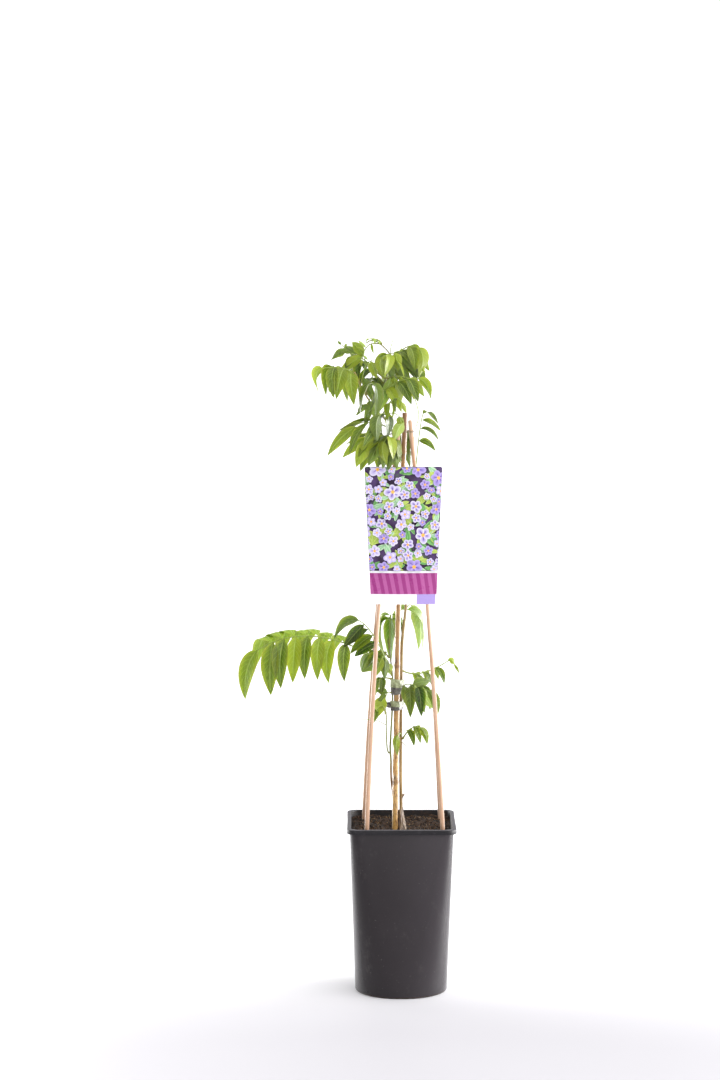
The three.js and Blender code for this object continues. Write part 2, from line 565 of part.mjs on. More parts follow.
// What most fronds share; each names its stem, the height it leaves it at, and where it goes.
const USUAL = {
  face: [0, -0.4, 0.9], slim: 0.34, droop: 1.1, sweep: 0.6, bare: 0.3, finish: LEAF,
};
const FRONDS = {
  // the middle of the plant, where the stems are tied
  frond_long: {
    stem: "green_stem", height: 413, via: [-112, -40, 483], tip: [-180, -26, 437],
    face: [0, -0.6, 0.8], pairs: 7, leaf: [42, 70], slim: 0.28, droop: 1.25, endDroop: 1.35,
    sweep: 0.35, seed: 57,
  },
  frond_dark: {
    stem: "green_stem", height: 403, via: [-34, -27, 466], tip: [-54, -22, 474],
    face: [0, -1, 0.2], sides: [-1], pairs: 5, leaf: [30, 44], slim: 0.36, droop: 0.5, endDroop: 0.6,
    sweep: 0.2, bare: 0.28, seed: 12, finish: DARK_LEAF,
  },
  frond_middle_left: {
    stem: "green_stem", height: 424, via: [-25, 5, 437], tip: [-41, 7, 427],
    pairs: 2, leaf: [24, 26], slim: 0.46, droop: 1.0, seed: 38, finish: DARK_LEAF,
  },
  frond_young: {
    stem: "woody_stem", height: 450, via: [5, 20, 495], tip: [13, 24, 487],
    pairs: 1, leaf: [48, 60], slim: 0.32, droop: 1.3, seed: 3, finish: YOUNG_LEAF,
  },
  frond_pale_left: {
    stem: "green_stem", height: 436, via: [-14, 10, 486], tip: [-13, 18, 474],
    pairs: 2, leaf: [34, 58], slim: 0.3, droop: 1.35, sweep: 0.2, bare: 0.5, seed: 31,
    finish: YOUNG_LEAF,
  },
  frond_right_upper: {
    stem: "woody_stem", height: 407, via: [24, 14, 394], tip: [60, 16, 418],
    pairs: 3, leaf: [26, 24], slim: 0.38, droop: 0.9, seed: 4,
  },
  frond_right_tie: {
    stem: "woody_stem", height: 380, via: [14, -20, 397], tip: [32, -20, 385],
    pairs: 2, leaf: [38, 36], slim: 0.36, droop: 1.0, seed: 40, finish: DARK_LEAF,
  },
  frond_right_low: {
    stem: "woody_stem", height: 322, via: [12, -12, 342], tip: [24, -10, 336],
    pairs: 2, leaf: [20, 26], slim: 0.38, droop: 0.9, seed: 6,
  },
  frond_stake_leaf: {
    stem: "woody_stem", height: 326, via: [-1, -13, 333], tip: [-5, -17, 328],
    pairs: 0, leaf: [26, 26], slim: 0.38, endDroop: 1.4, seed: 7,
  },
  frond_left_tie: {
    stem: "green_stem", height: 398, via: [-24, -10, 402], tip: [-30, -11, 396],
    pairs: 1, leaf: [20, 22], slim: 0.4, droop: 1.2, seed: 8, finish: DARK_LEAF,
  },
  frond_side_shoot: {
    stem: "side_shoot", height: 356, via: [-22, -20, 365], tip: [-24, -20, 366],
    pairs: 0, leaf: [23, 23], slim: 0.66, endDroop: 1.15, seed: 9,
  },
  // the crown
  frond_crown_left: {
    stem: "woody_stem", height: 777, via: [-70, -18, 794], tip: [-99, -22, 788],
    pairs: 3, leaf: [40, 38], slim: 0.48, droop: 1.3, sweep: 0.5, bare: 0.2, seed: 10,
  },
  frond_crown_top: {
    stem: "crown_shoot", height: 769, via: [-46, 14, 797], tip: [-70, 15, 808],
    pairs: 3, leaf: [26, 24], slim: 0.5, droop: 0.8, seed: 67, finish: DARK_LEAF,
  },
  frond_crown_centre: {
    stem: "crown_shoot", height: 786, via: [-11, -23, 812], tip: [-25, -28, 802],
    pairs: 2, leaf: [29, 28], slim: 0.46, droop: 1.15, seed: 33,
  },
  frond_crown_bud: {
    stem: "crown_shoot", height: 817, via: [-28, -8, 826], tip: [-42, -10, 824],
    pairs: 2, leaf: [8, 7], slim: 0.45, droop: 0.9, seed: 12, finish: YOUNG_LEAF,
  },
  frond_crown_right: {
    stem: "crown_shoot", height: 795, via: [4, 6, 822], tip: [20, 0, 812],
    pairs: 2, leaf: [26, 36], slim: 0.44, droop: 1.0, seed: 13,
  },
  frond_crown_low_right: {
    stem: "woody_stem", height: 745, via: [-6, -17, 780], tip: [21, -17, 775],
    pairs: 3, leaf: [32, 32], slim: 0.44, droop: 1.25, seed: 48,
  },
  frond_crown_mid_right: {
    stem: "crown_shoot", height: 772, via: [0, 10, 796], tip: [17, 10, 790],
    pairs: 2, leaf: [30, 30], slim: 0.46, droop: 0.9, seed: 67, finish: DARK_LEAF,
  },
  frond_crown_front: {
    stem: "woody_stem", height: 729, via: [-10, -43, 763], tip: [0, -47, 747],
    pairs: 2, leaf: [26, 26], slim: 0.42, droop: 1.3, seed: 55, finish: YOUNG_LEAF,
  },
  frond_crown_hanging: {
    stem: "woody_stem", height: 756, via: [-41, -23, 774], tip: [-35, -33, 769],
    pairs: 1, leaf: [42, 42], slim: 0.32, droop: 1.45, seed: 57, finish: DARK_LEAF,
  },
  frond_crown_back: {
    stem: "woody_stem", height: 755, via: [-41, 2, 777], tip: [-33, 4, 775],
    pairs: 2, leaf: [30, 32], slim: 0.4, droop: 1.2, seed: 17, finish: DARK_LEAF,
  },
  frond_crown_single: {
    stem: "woody_stem", height: 742, via: [-44, -17, 745], tip: [-48, -20, 743],
    pairs: 0, leaf: [18, 18], slim: 0.28, endDroop: 0.7, seed: 18, finish: DARK_LEAF,
  },
  frond_crown_rear_left: {
    stem: "woody_stem", height: 771, via: [-64, 34, 798], tip: [-82, 64, 778],
    pairs: 3, bare: 0.42, leaf: [34, 36], slim: 0.4, droop: 1.1, seed: 19,
  },
  frond_crown_rear_right: {
    stem: "crown_shoot", height: 781, via: [-8, 34, 800], tip: [0, 62, 784],
    pairs: 3, leaf: [30, 32], slim: 0.4, droop: 1.1, seed: 20,
  },
  // below the crown, above the label
  frond_low_left: {
    stem: "woody_stem", height: 712, via: [-34, -22, 729], tip: [-56, -20, 715],
    pairs: 2, leaf: [52, 56], slim: 0.27, droop: 0.6, endDroop: 0.3, sweep: 1.0, seed: 76,
  },
  frond_low_front: {
    stem: "woody_stem", height: 708, via: [-19, -30, 741], tip: [-28, -40, 731],
    pairs: 1, leaf: [29, 31], slim: 0.5, droop: 1.45, seed: 14, finish: DARK_LEAF,
  },
  frond_lower_left: {
    stem: "woody_stem", height: 700, via: [-28, -8, 708], tip: [-42, -10, 701],
    pairs: 2, leaf: [38, 42], slim: 0.3, droop: 0.45, endDroop: 0.2, sweep: 1.0, seed: 23,
  },
  frond_lowest_front: {
    stem: "woody_stem", height: 690, via: [-15, -35, 713], tip: [-22, -33, 698],
    pairs: 2, leaf: [30, 30], slim: 0.52, droop: 1.3, seed: 4,
  },
  frond_lowest_right: {
    stem: "woody_stem", height: 678, via: [0, -13, 697], tip: [-27, -10, 695],
    pairs: 2, leaf: [22, 25], slim: 0.46, droop: 1.1, seed: 71, finish: DARK_LEAF,
  },
  frond_lowest_left: {
    stem: "woody_stem", height: 682, via: [-24, 8, 694], tip: [-38, 8, 684],
    pairs: 1, leaf: [28, 32], slim: 0.36, droop: 0.9, seed: 25,
  },
  frond_stake_right: {
    stem: "woody_stem", height: 640, via: [3, 30, 691], tip: [7, 25, 707],
    face: [0, -1, 0], pairs: 1, leaf: [30, 30], slim: 0.4, droop: 1.4, bare: 0.7, seed: 26,
    finish: DARK_LEAF,
  },
  frond_right_shoot: {
    stem: "woody_stem", height: 560, via: [20, 14, 712], tip: [27, 8, 731],
    face: [0, -1, 0], sides: [1], pairs: 3, leaf: [25, 27], slim: 0.36, droop: 0.6, endDroop: 0.75,
    sweep: 0.2, bare: 0.6, seed: 27,
  },
  // behind the label
  frond_rear_right: {
    stem: "woody_stem", height: 600, via: [22, 50, 640], tip: [30, 88, 612],
    pairs: 4, leaf: [38, 44], slim: 0.36, seed: 28,
  },
  frond_rear_left: {
    stem: "woody_stem", height: 630, via: [-24, 50, 672], tip: [-30, 84, 646],
    pairs: 3, leaf: [38, 44], slim: 0.4, seed: 29, finish: DARK_LEAF,
  },
  frond_rear_low: {
    stem: "woody_stem", height: 530, via: [6, 50, 574], tip: [10, 88, 556],
    pairs: 3, leaf: [34, 40], slim: 0.4, seed: 30,
  },
};

// ---------------------------------------------------------------- assembly
piece("pot", makePot(), PLASTIC);
piece("soil", makeSoil(), SOIL);
for (const [name, curve] of Object.entries(caneCurves)) piece(name, caneRod(curve, 0), CANE);
piece("bamboo_stake", makeStake(), BAMBOO);
piece("cane_tie", makeCaneTie(), PLASTIC);
for (const [name, stem] of Object.entries(STEMS)) {
  piece(name, stemRod(stem, 0), name === "woody_stem" ? BARK : GREEN_STEM);
}
piece("tape_tie_upper", makeTapeTie(UPPER_TAPE_LEVEL), TAPE);
piece("tape_tie_lower", makeKnottedTie(LOWER_TAPE_LEVEL), TAPE);
piece("label_card", makeLabel(), CARD);
for (const [name, own] of Object.entries(FRONDS)) {
  const frond = { ...USUAL, ...own };
  piece(name, makeFrond(frond), frond.finish);
}

export default wisteria;
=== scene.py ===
# A young wisteria in a tall nursery pot: a vine tied to a bamboo stake inside four leaning canes.
# Every piece is drawn in millimetres and brought to metres when it is finished.
import bisect
import itertools
import math
import random

import bmesh
import bpy
from mathutils import Matrix, Vector, noise
from mathutils.geometry import interpolate_bezier


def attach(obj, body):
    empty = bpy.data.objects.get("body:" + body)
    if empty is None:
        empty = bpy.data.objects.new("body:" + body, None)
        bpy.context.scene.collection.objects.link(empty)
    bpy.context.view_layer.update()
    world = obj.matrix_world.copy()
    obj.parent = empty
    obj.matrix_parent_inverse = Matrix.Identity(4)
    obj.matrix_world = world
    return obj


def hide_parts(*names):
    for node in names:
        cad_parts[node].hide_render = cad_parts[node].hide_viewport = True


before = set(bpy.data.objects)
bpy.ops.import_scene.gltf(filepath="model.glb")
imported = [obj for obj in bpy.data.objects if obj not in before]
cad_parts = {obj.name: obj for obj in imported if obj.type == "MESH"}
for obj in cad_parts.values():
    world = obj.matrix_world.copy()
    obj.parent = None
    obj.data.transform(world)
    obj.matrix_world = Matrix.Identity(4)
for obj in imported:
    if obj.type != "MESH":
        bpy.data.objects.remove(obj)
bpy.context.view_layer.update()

# ------------------------------------------------------------------ the pot
# A tall charcoal pot of moulded polypropylene, round at its foot and square at its rim. The lip
# turns out and down all round. Six drain holes are punched in the floor, so water runs out.
MM = 0.001
SEAM = 0.0005
SHARP = math.radians(45)
QUARTER = math.radians(90)

POT_HEIGHT = 217
POT_BASE_HALF = 58
POT_BODY_HALF = 65
POT_LIP_HALF = 68.5
POT_LIP_DEPTH = 6
POT_WALL = 1.6
POT_FLOOR = 2.6
POT_ROUND_BASE = 56
POT_TOP_CORNER = 12
POT_CORNER_GROWTH = 0.8
POT_ARC_SHARE = 0.72
POT_SIDE_SAG = 0.45
POT_WALL_RINGS = 14
POT_TURNS = 100
POT_EDGE_EASE = 0.4
POT_HEEL = [(1.6, 0), (0.5, 0.4)]
POT_HEEL_HEIGHT = 1.8
POT_LIP_EASE = [(0, 1.0), (0.25, 0.3), (0.9, 0)]
POT_RIM_EASE = 0.2
# the span across the pot over which its right side is painted lighter: painted light from the right
PAINTED_LIGHT_SIDE = (-0.03, 0.07)
SOILED_FOOT = (0.0035, 0.0008)
# the heights of the lip's top edge, which is painted lighter: a painted highlight
RIM_HIGHLIGHT_HEIGHTS = (0.2164, 0.2169)
DRAIN_RADIUS = 5
DRAIN_CIRCLE = 38
DRAIN_COUNT = 6


def tint(red, green, blue):
    """A colour given by its usual 0-255 numbers, as the shaders want it."""
    linear = []
    for part in (red, green, blue):
        share = part / 255
        linear.append(share / 12.92 if share <= 0.04045 else ((share + 0.055) / 1.055) ** 2.4)
    return (*linear, 1.0)


def blend(first, second, share):
    return first + (second - first) * share


class Finish:
    """A surface finish in the making: nodes are added to it one after another."""

    def __init__(self, name, **fixed):
        self.material = bpy.data.materials.new(name)
        self.material.use_nodes = True
        self.nodes = self.material.node_tree.nodes
        self.shader = self.nodes["Principled BSDF"]
        for socket, value in fixed.items():
            self.shader.inputs[socket.replace("_", " ")].default_value = value

    def add(self, kind, feeds, output=0, **settings):
        """A node with its settings; each feed is a socket of it with a number or another output."""
        node = self.nodes.new("ShaderNode" + kind)
        for setting, value in settings.items():
            setattr(node, setting, value)
        for socket, value in feeds.items():
            self.feed(node.inputs[socket], value)
        return node.outputs[output]

    def feed(self, socket, value):
        if isinstance(value, bpy.types.NodeSocket):
            self.material.node_tree.links.new(value, socket)
        else:
            socket.default_value = value

    def place(self):
        return self.add("TexCoord", {}, "Object")

    def layer(self, name, output="Vector"):
        """What a mesh carries on its points or corners under a name."""
        return self.add("Attribute", {}, output, attribute_name=name)

    def stretched(self, place, scale):
        return self.add("Mapping", {"Vector": place, "Scale": scale})

    def grain(self, place, scale, detail=4.0, roughness=0.55):
        """Noise of one scale, or of three for a grain that is drawn out."""
        if isinstance(scale, tuple):
            place, scale = self.stretched(place, scale), 1.0
        feeds = {"Vector": place, "Scale": scale, "Detail": detail, "Roughness": roughness}
        return self.add("TexNoise", feeds)

    def step(self, value, low, high, least=0.0, most=1.0):
        """Rises smoothly from `least` to `most` as the value goes from low to high."""
        feeds = {"Value": value, 1: low, 2: high, 3: least, 4: most}
        return self.add("MapRange", feeds, interpolation_type="SMOOTHSTEP")

    def spread(self, grain, least=0.0, most=1.0):
        """Spreads the usual values of a grain between two limits."""
        return self.step(grain, 0.3, 0.7, least, most)

    def sum(self, operation, first, second=0.0):
        return self.add("Math", {0: first, 1: second}, operation=operation)

    def mix(self, share, first, second, way="MIX"):
        feeds = {0: share, 6: first, 7: second}
        return self.add("Mix", feeds, 2, data_type="RGBA", blend_type=way)

    def stain(self, body, value, low, high, most, color):
        """Lays a second colour over the body's where a value runs from low to high."""
        return self.mix(self.step(value, low, high, 0.0, most), body, color)

    def split(self, vector):
        """The three parts of a vector."""
        node = self.nodes.new("ShaderNodeSeparateXYZ")
        self.feed(node.inputs[0], vector)
        return node.outputs

    def wear(self, color, roughness, height, depth, strength=1.0):
        """Gives the shader its colour, roughness and relief; `depth` is the relief's in mm."""
        self.feed(self.shader.inputs["Base Color"], color)
        self.feed(self.shader.inputs["Roughness"], roughness)
        bump = self.add("Bump", {"Strength": strength, "Distance": depth * MM, "Height": height})
        self.feed(self.shader.inputs["Normal"], bump)
        return self.material


def rolled(bm, around, along, place):
    """A sheet rolled up and closed where its sides meet; `place` lays each of its points."""
    sheet = bmesh.ops.create_grid(bm, x_segments=around, y_segments=along, size=0.5)["verts"]
    for vert in sheet:
        vert.co = place(vert.co.x + 0.5, vert.co.y + 0.5)
    bmesh.ops.remove_doubles(bm, verts=sheet, dist=SEAM)


def close_up(bm):
    """Fills what is open and turns every face outwards."""
    open_edges = [edge for edge in bm.edges if edge.is_boundary]
    bmesh.ops.holes_fill(bm, edges=open_edges, sides=0)
    bmesh.ops.recalc_face_normals(bm, faces=bm.faces)


def set_up(name, data):
    """Puts a mesh, lamp or camera into the scene."""
    made = bpy.data.objects.new(name, data)
    bpy.context.scene.collection.objects.link(made)
    return made


def finish_piece(name, bm, slot, *materials, replaces=()):
    """Brings a mesh drawn in millimetres to metres and makes it a piece of the plant."""
    bmesh.ops.scale(bm, vec=(MM, MM, MM), verts=bm.verts)
    for face in bm.faces:
        face.smooth = True
    for edge in bm.edges:
        edge.smooth = not (edge.is_manifold and edge.calc_face_angle() > SHARP)
    mesh = bpy.data.meshes.new(name)
    bm.to_mesh(mesh)
    bm.free()
    for material in materials:
        mesh.materials.append(material)
    made = set_up(name, mesh)
    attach(made, "root")
    if replaces:
        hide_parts(*replaces)
    return made


def ringed(turn, height, reach=1.0):
    """A place on a ring. Noise that is read there meets itself after a whole turn."""
    return Vector((math.cos(turn) * reach, math.sin(turn) * reach, height))


def wall_half(z):
    return blend(POT_BASE_HALF, POT_BODY_HALF, z / POT_HEIGHT)


def pot_corner(z):
    grown = (max(z, 0) / POT_HEIGHT) ** POT_CORNER_GROWTH
    return blend(POT_ROUND_BASE, POT_TOP_CORNER, grown)


def square_spot(turn, half, z):
    """A place on a ring of the pot: each quarter is a rounded corner and then a flat side."""
    corner = pot_corner(z) * min(1, half / wall_half(z))
    quarter, within = divmod(turn * 4, 1)
    angle = QUARTER * min(within / POT_ARC_SHARE, 1)
    run = max(within - POT_ARC_SHARE, 0) / (1 - POT_ARC_SHARE)
    inset = half - corner
    sag = POT_SIDE_SAG * 4 * run * (1 - run) * min(1, inset / POT_BODY_HALF)
    across = inset * (1 - 2 * run) + corner * math.cos(angle)
    out = inset + corner * math.sin(angle) - sag
    spot = Matrix.Rotation(QUARTER * quarter, 2) @ Vector((across, out))
    return Vector((spot.x, spot.y, z))


lip_bottom = POT_HEIGHT - POT_LIP_DEPTH
wall_levels = [lip_bottom * k / POT_WALL_RINGS for k in range(1, POT_WALL_RINGS)]
pot_profile = [(0, 0), (0.5 * POT_BASE_HALF, 0)]
pot_profile += [(POT_BASE_HALF - inset, z) for inset, z in POT_HEEL]
pot_profile += [(wall_half(z), z) for z in [POT_HEEL_HEIGHT, *wall_levels]]
pot_profile += [
    (wall_half(lip_bottom), lip_bottom),
    (wall_half(POT_HEIGHT - POT_WALL), POT_HEIGHT - POT_WALL),
    (POT_LIP_HALF - POT_WALL, POT_HEIGHT - POT_WALL),
    (POT_LIP_HALF - POT_WALL, lip_bottom),
    (POT_LIP_HALF, lip_bottom),
    *((POT_LIP_HALF - inset, POT_HEIGHT - drop) for inset, drop in POT_LIP_EASE),
    (wall_half(POT_HEIGHT) - POT_WALL, POT_HEIGHT),
]
pot_profile += [(wall_half(z) - POT_WALL, z) for z in reversed(wall_levels)]
pot_profile += [(wall_half(POT_FLOOR) - POT_WALL, POT_FLOOR), (0, POT_FLOOR)]


def pot_place(turn, share):
    half, z = pot_profile[round(share * (len(pot_profile) - 1))]
    return square_spot(turn, half, z)


pot = bmesh.new()
rolled(pot, POT_TURNS, len(pot_profile) - 1, pot_place)
close_up(pot)
folds = [edge for edge in pot.edges if edge.calc_face_angle() > SHARP]
bmesh.ops.bevel(
    pot, geom=folds, offset=POT_EDGE_EASE, offset_type="OFFSET", affect="EDGES", segments=2,
    profile=0.5, material=-1,
)

charcoal = Finish("satin_charcoal_plastic", Specular_IOR_Level=0.32)
place = charcoal.place()
sideways, _, height_up = charcoal.split(place)
patches = charcoal.grain(place, 22, 3.0)
smears = charcoal.grain(place, (34, 34, 20), 7.0, 0.7)
dust = charcoal.step(smears, 0.56, 0.78, 0.0, 0.2)
speckle = charcoal.step(charcoal.grain(place, 420, 3.0), 0.66, 0.76, 0.0, 0.4)
body = charcoal.mix(patches, tint(36, 31, 34), tint(44, 39, 42))
# the pot grows lighter from left to right across its width: painted light from the right
body = charcoal.stain(body, sideways, *PAINTED_LIGHT_SIDE, 0.7, tint(68, 63, 67))
body = charcoal.mix(dust, body, tint(96, 92, 90))
body = charcoal.mix(speckle, body, tint(90, 86, 84))
soiled = charcoal.sum("MULTIPLY", charcoal.step(height_up, *SOILED_FOOT), patches)
body = charcoal.mix(soiled, body, tint(74, 60, 48))
pebble = charcoal.grain(place, 1500, 2.0)
charcoal.wear(body, charcoal.spread(smears, 0.18, 0.27), pebble, 0.05, 0.35)

# The inside of the wall is painted darker than the outside, as painted shade within the pot; the brown
# splashes on it are soil.
shaded_soiled_wall = Finish("shaded_and_soiled_inner_wall", Specular_IOR_Level=0.3)
place = shaded_soiled_wall.place()
splashes = shaded_soiled_wall.grain(place, 130, 6.0, 0.7)
body = shaded_soiled_wall.mix(shaded_soiled_wall.step(splashes, 0.45, 0.7), tint(26, 23, 25), tint(58, 44, 34))
shaded_soiled_wall.wear(body, shaded_soiled_wall.spread(splashes, 0.5, 0.85), splashes, 0.2)

dull_lip = Finish("dull_lip_edge", Specular_IOR_Level=0.3)
place = dull_lip.place()
grazes = dull_lip.grain(place, 160, 4.0)
# The flat top of the lip is painted lighter: a painted highlight along its top edge.
painted_rim_highlight = dull_lip.step(dull_lip.split(place)[2], *RIM_HIGHLIGHT_HEIGHTS)
body = dull_lip.mix(dull_lip.step(grazes, 0.5, 0.75), tint(28, 26, 30), tint(48, 45, 49))
body = dull_lip.mix(painted_rim_highlight, body, dull_lip.mix(grazes, tint(44, 41, 45), tint(92, 90, 96)))
dull_lip.wear(body, dull_lip.spread(grazes, 0.5, 0.65), grazes, 0.05)

for face in pot.faces:
    middle = face.calc_center_median()
    inward = face.normal.x * middle.x + face.normal.y * middle.y < 0
    inside = inward and middle.xy.length < POT_BODY_HALF * math.sqrt(2)
    if inside and POT_FLOOR < middle.z < POT_HEIGHT - POT_RIM_EASE:
        face.material_index = 1
    elif middle.z > lip_bottom - POT_EDGE_EASE and not inward:
        face.material_index = 2
shell = finish_piece(
    "nursery_pot", pot, "pot_plastic", charcoal.material, shaded_soiled_wall.material, dull_lip.material,
    replaces=["pot"],
)

punches = bmesh.new()
for number in range(DRAIN_COUNT):
    angle = math.tau * (number + 0.5) / DRAIN_COUNT
    spot = ringed(angle, 0) * DRAIN_CIRCLE * MM
    bmesh.ops.create_cone(
        punches, cap_ends=True, segments=28, radius1=DRAIN_RADIUS * MM, radius2=DRAIN_RADIUS * MM,
        depth=4 * POT_FLOOR * MM, matrix=Matrix.Translation(spot),
    )
punch_mesh = bpy.data.meshes.new("drain_punches")
punches.to_mesh(punch_mesh)
punches.free()
punch = set_up("drain_punches", punch_mesh)
cut = shell.modifiers.new("drain_holes", "BOOLEAN")
cut.operation = "DIFFERENCE"
cut.solver = "EXACT"
cut.object = punch
punched = bpy.data.meshes.new_from_object(shell.evaluated_get(bpy.context.evaluated_depsgraph_get()))
shell.modifiers.clear()
shell.data = punched
bpy.data.objects.remove(punch)

# ------------------------------------------------------------------ the soil
# Dark potting compost of bark and peat, filled to a finger's breadth below the rim. Its top is
# uneven, strewn with crumbs, chips of bark, fibres and a few pale grains.
SOIL_TOP = 207
SOIL_SLOPE = 0.045
SOIL_LUMP = 1.6
SOIL_GAP = 0.3
SOIL_TURNS = 150
SOIL_RINGS = 58
SOIL_GRIT = 1.9
CRUMBS = 2600
CRUMB_SIZES = (0.5, 1.25)
CRUMB_SPREAD = 2.2
CRUMB_SUNK = 0.15
PALE_GRAINS = 60
GRAIN_SIZES = (0.35, 0.75)
FIBRES = 230
FIBRE_LENGTHS = (4, 15)
FIBRE_RADII = (0.16, 0.38)
FIBRE_CURL = 1.4
LITTER_HEAPS = 20
SOIL_BROWN = tint(50, 35, 25)
SOIL_RED = tint(90, 62, 41)
SOIL_TAN = tint(146, 116, 80)
SOIL_PALE = tint(215, 205, 190)
soil_random = random.Random(11)


def soil_height(x, y):
    """How high the soil's top is: broad lumps, then clods, then grit."""
    broad = math.sin(x * 0.17 + 1.3) * math.sin(y * 0.21 + 0.4) + 0.5 * math.sin(x * 0.41 - y * 0.33)
    clods = noise.fractal(Vector((x, y, 0)) * 0.16, 0.9, 2.1, 4)
    grit = noise.fractal(Vector((x, y, 9)) * 0.6, 0.7, 2.0, 3)
    return SOIL_TOP + SOIL_SLOPE * y + SOIL_LUMP * broad + SOIL_GRIT * clods + 0.4 * SOIL_GRIT * grit


soil_floor = POT_FLOOR + SOIL_GAP
soil_walls = [(0, soil_floor), (wall_half(POT_FLOOR) - POT_WALL - SOIL_GAP, soil_floor)]
soil_walls += [(wall_half(z) - POT_WALL - SOIL_GAP, z) for z in wall_levels[1:-1:3]]
soil_rim = wall_half(SOIL_TOP) - POT_WALL - 2 * SOIL_GAP
soil_steps = len(soil_walls) + SOIL_RINGS


def soil_place(turn, share):
    step = round(share * soil_steps)
    if step < len(soil_walls):
        return square_spot(turn, *soil_walls[step])
    half = soil_rim * (1 - (step - len(soil_walls)) / SOIL_RINGS)
    spot = square_spot(turn, half, SOIL_TOP)
    return Vector((spot.x, spot.y, soil_height(spot.x, spot.y)))


soil = bmesh.new()
rolled(soil, SOIL_TURNS, soil_steps, soil_place)
close_up(soil)
compost = Finish("moist_compost", Specular_IOR_Level=0.25)
place = compost.place()
clumps = compost.grain(place, 190, 8.0, 0.7)
threads = compost.grain(place, (700, 170, 400), 5.0, 0.7)
body = compost.mix(compost.step(clumps, 0.38, 0.62), tint(18, 13, 10), tint(66, 47, 34))
body = compost.stain(body, threads, 0.6, 0.74, 0.8, SOIL_RED)
flecks = compost.add("TexVoronoi", {"Vector": place, "Scale": 420.0}, "Distance")
body = compost.stain(body, flecks, 0.16, 0.07, 0.7, tint(150, 120, 86))
compost.wear(body, compost.spread(clumps, 0.82, 0.95), threads, 1.2)
finish_piece("potting_soil", soil, "soil", compost.material, replaces=["soil"])


def soil_spot(reach=0.95):
    """A random place on the soil, a little inside the pot's walls."""
    half = soil_rim * reach
    x = soil_random.uniform(-half, half)
    y = soil_random.uniform(-half, half)
    return Vector((x, y, soil_height(x, y)))


def random_turn():
    spins = [Matrix.Rotation(soil_random.uniform(0, math.tau), 4, axis) for axis in "XYZ"]
    return spins[0] @ spins[1] @ spins[2]


def dye(verts, layer, color):
    """Gives every corner of some new faces one colour."""
    for face in {face for vert in verts for face in vert.link_faces}:
        for loop in face.loops:
            loop[layer] = color


def scatter_crumb(bm, layer, size, color):
    spot = soil_spot()
    place = Matrix.Translation(spot + Vector((0, 0, size * CRUMB_SUNK))) @ random_turn()
    verts = bmesh.ops.create_icosphere(bm, subdivisions=1, radius=size)["verts"]
    for vert in verts:
        vert.co *= 0.6 + 0.7 * soil_random.random()
    flatter = (1, soil_random.uniform(0.5, 1), soil_random.uniform(0.3, 0.8))
    bmesh.ops.scale(bm, vec=flatter, verts=verts)
    bmesh.ops.transform(bm, matrix=place, verts=verts)
    dye(verts, layer, color)


def scatter_fibre(bm, layer):
    """A curled root or bark fibre that lies on the soil."""
    spot = soil_spot(0.9)
    heading = soil_random.uniform(0, math.tau)
    curl = soil_random.uniform(-FIBRE_CURL, FIBRE_CURL)
    length = soil_random.uniform(*FIBRE_LENGTHS)
    thickness = soil_random.uniform(*FIBRE_RADII)
    verts = bmesh.ops.create_grid(bm, x_segments=3, y_segments=7, size=0.5)["verts"]
    for vert in verts:
        turn = (vert.co.x + 0.5) * math.tau
        share = vert.co.y + 0.5
        angle = heading + curl * share
        line = spot + ringed(angle, 0) * length * (share - 0.5)
        lift = 0.7 + 0.8 * math.sin(share * 5 + heading)
        slim = thickness * (1 - 0.7 * abs(2 * share - 1))
        side = Vector((-math.sin(angle), math.cos(angle), 0)) * math.cos(turn) * slim
        vert.co = Vector((line.x, line.y, soil_height(line.x, line.y) + lift)) + side
        vert.co.z += math.sin(turn) * slim
    dye(verts, layer, SOIL_RED if soil_random.random() < 0.6 else SOIL_TAN)


litter = bmesh.new()
for _ in range(LITTER_HEAPS):
    heap = bmesh.new()
    dyed = heap.loops.layers.float_color.new("litter")
    for _ in range(CRUMBS // LITTER_HEAPS):
        shade = soil_random.random()
        color = SOIL_BROWN if shade < 0.62 else SOIL_RED if shade < 0.92 else SOIL_TAN
        scatter_crumb(heap, dyed, soil_random.uniform(*CRUMB_SIZES) ** CRUMB_SPREAD, color)
    for _ in range(PALE_GRAINS // LITTER_HEAPS):
        scatter_crumb(heap, dyed, soil_random.uniform(*GRAIN_SIZES), SOIL_PALE)
    for _ in range(FIBRES // LITTER_HEAPS):
        scatter_fibre(heap, dyed)
    heap_mesh = bpy.data.meshes.new("litter_heap")
    heap.to_mesh(heap_mesh)
    heap.free()
    litter.from_mesh(heap_mesh)
    bpy.data.meshes.remove(heap_mesh)
bmesh.ops.remove_doubles(litter, verts=litter.verts, dist=SEAM)
close_up(litter)
crumbly = Finish("crumbs_and_fibres", Specular_IOR_Level=0.25)
rough = crumbly.grain(crumbly.place(), 900, 5.0, 0.65)
own_color = crumbly.layer("litter", "Color")
body = crumbly.mix(crumbly.spread(rough, 0.5, 1.0), tint(0, 0, 0), own_color)
crumbly.wear(body, crumbly.spread(rough, 0.7, 0.95), rough, 0.4)
finish_piece("soil_crumbs", litter, "soil", crumbly.material)

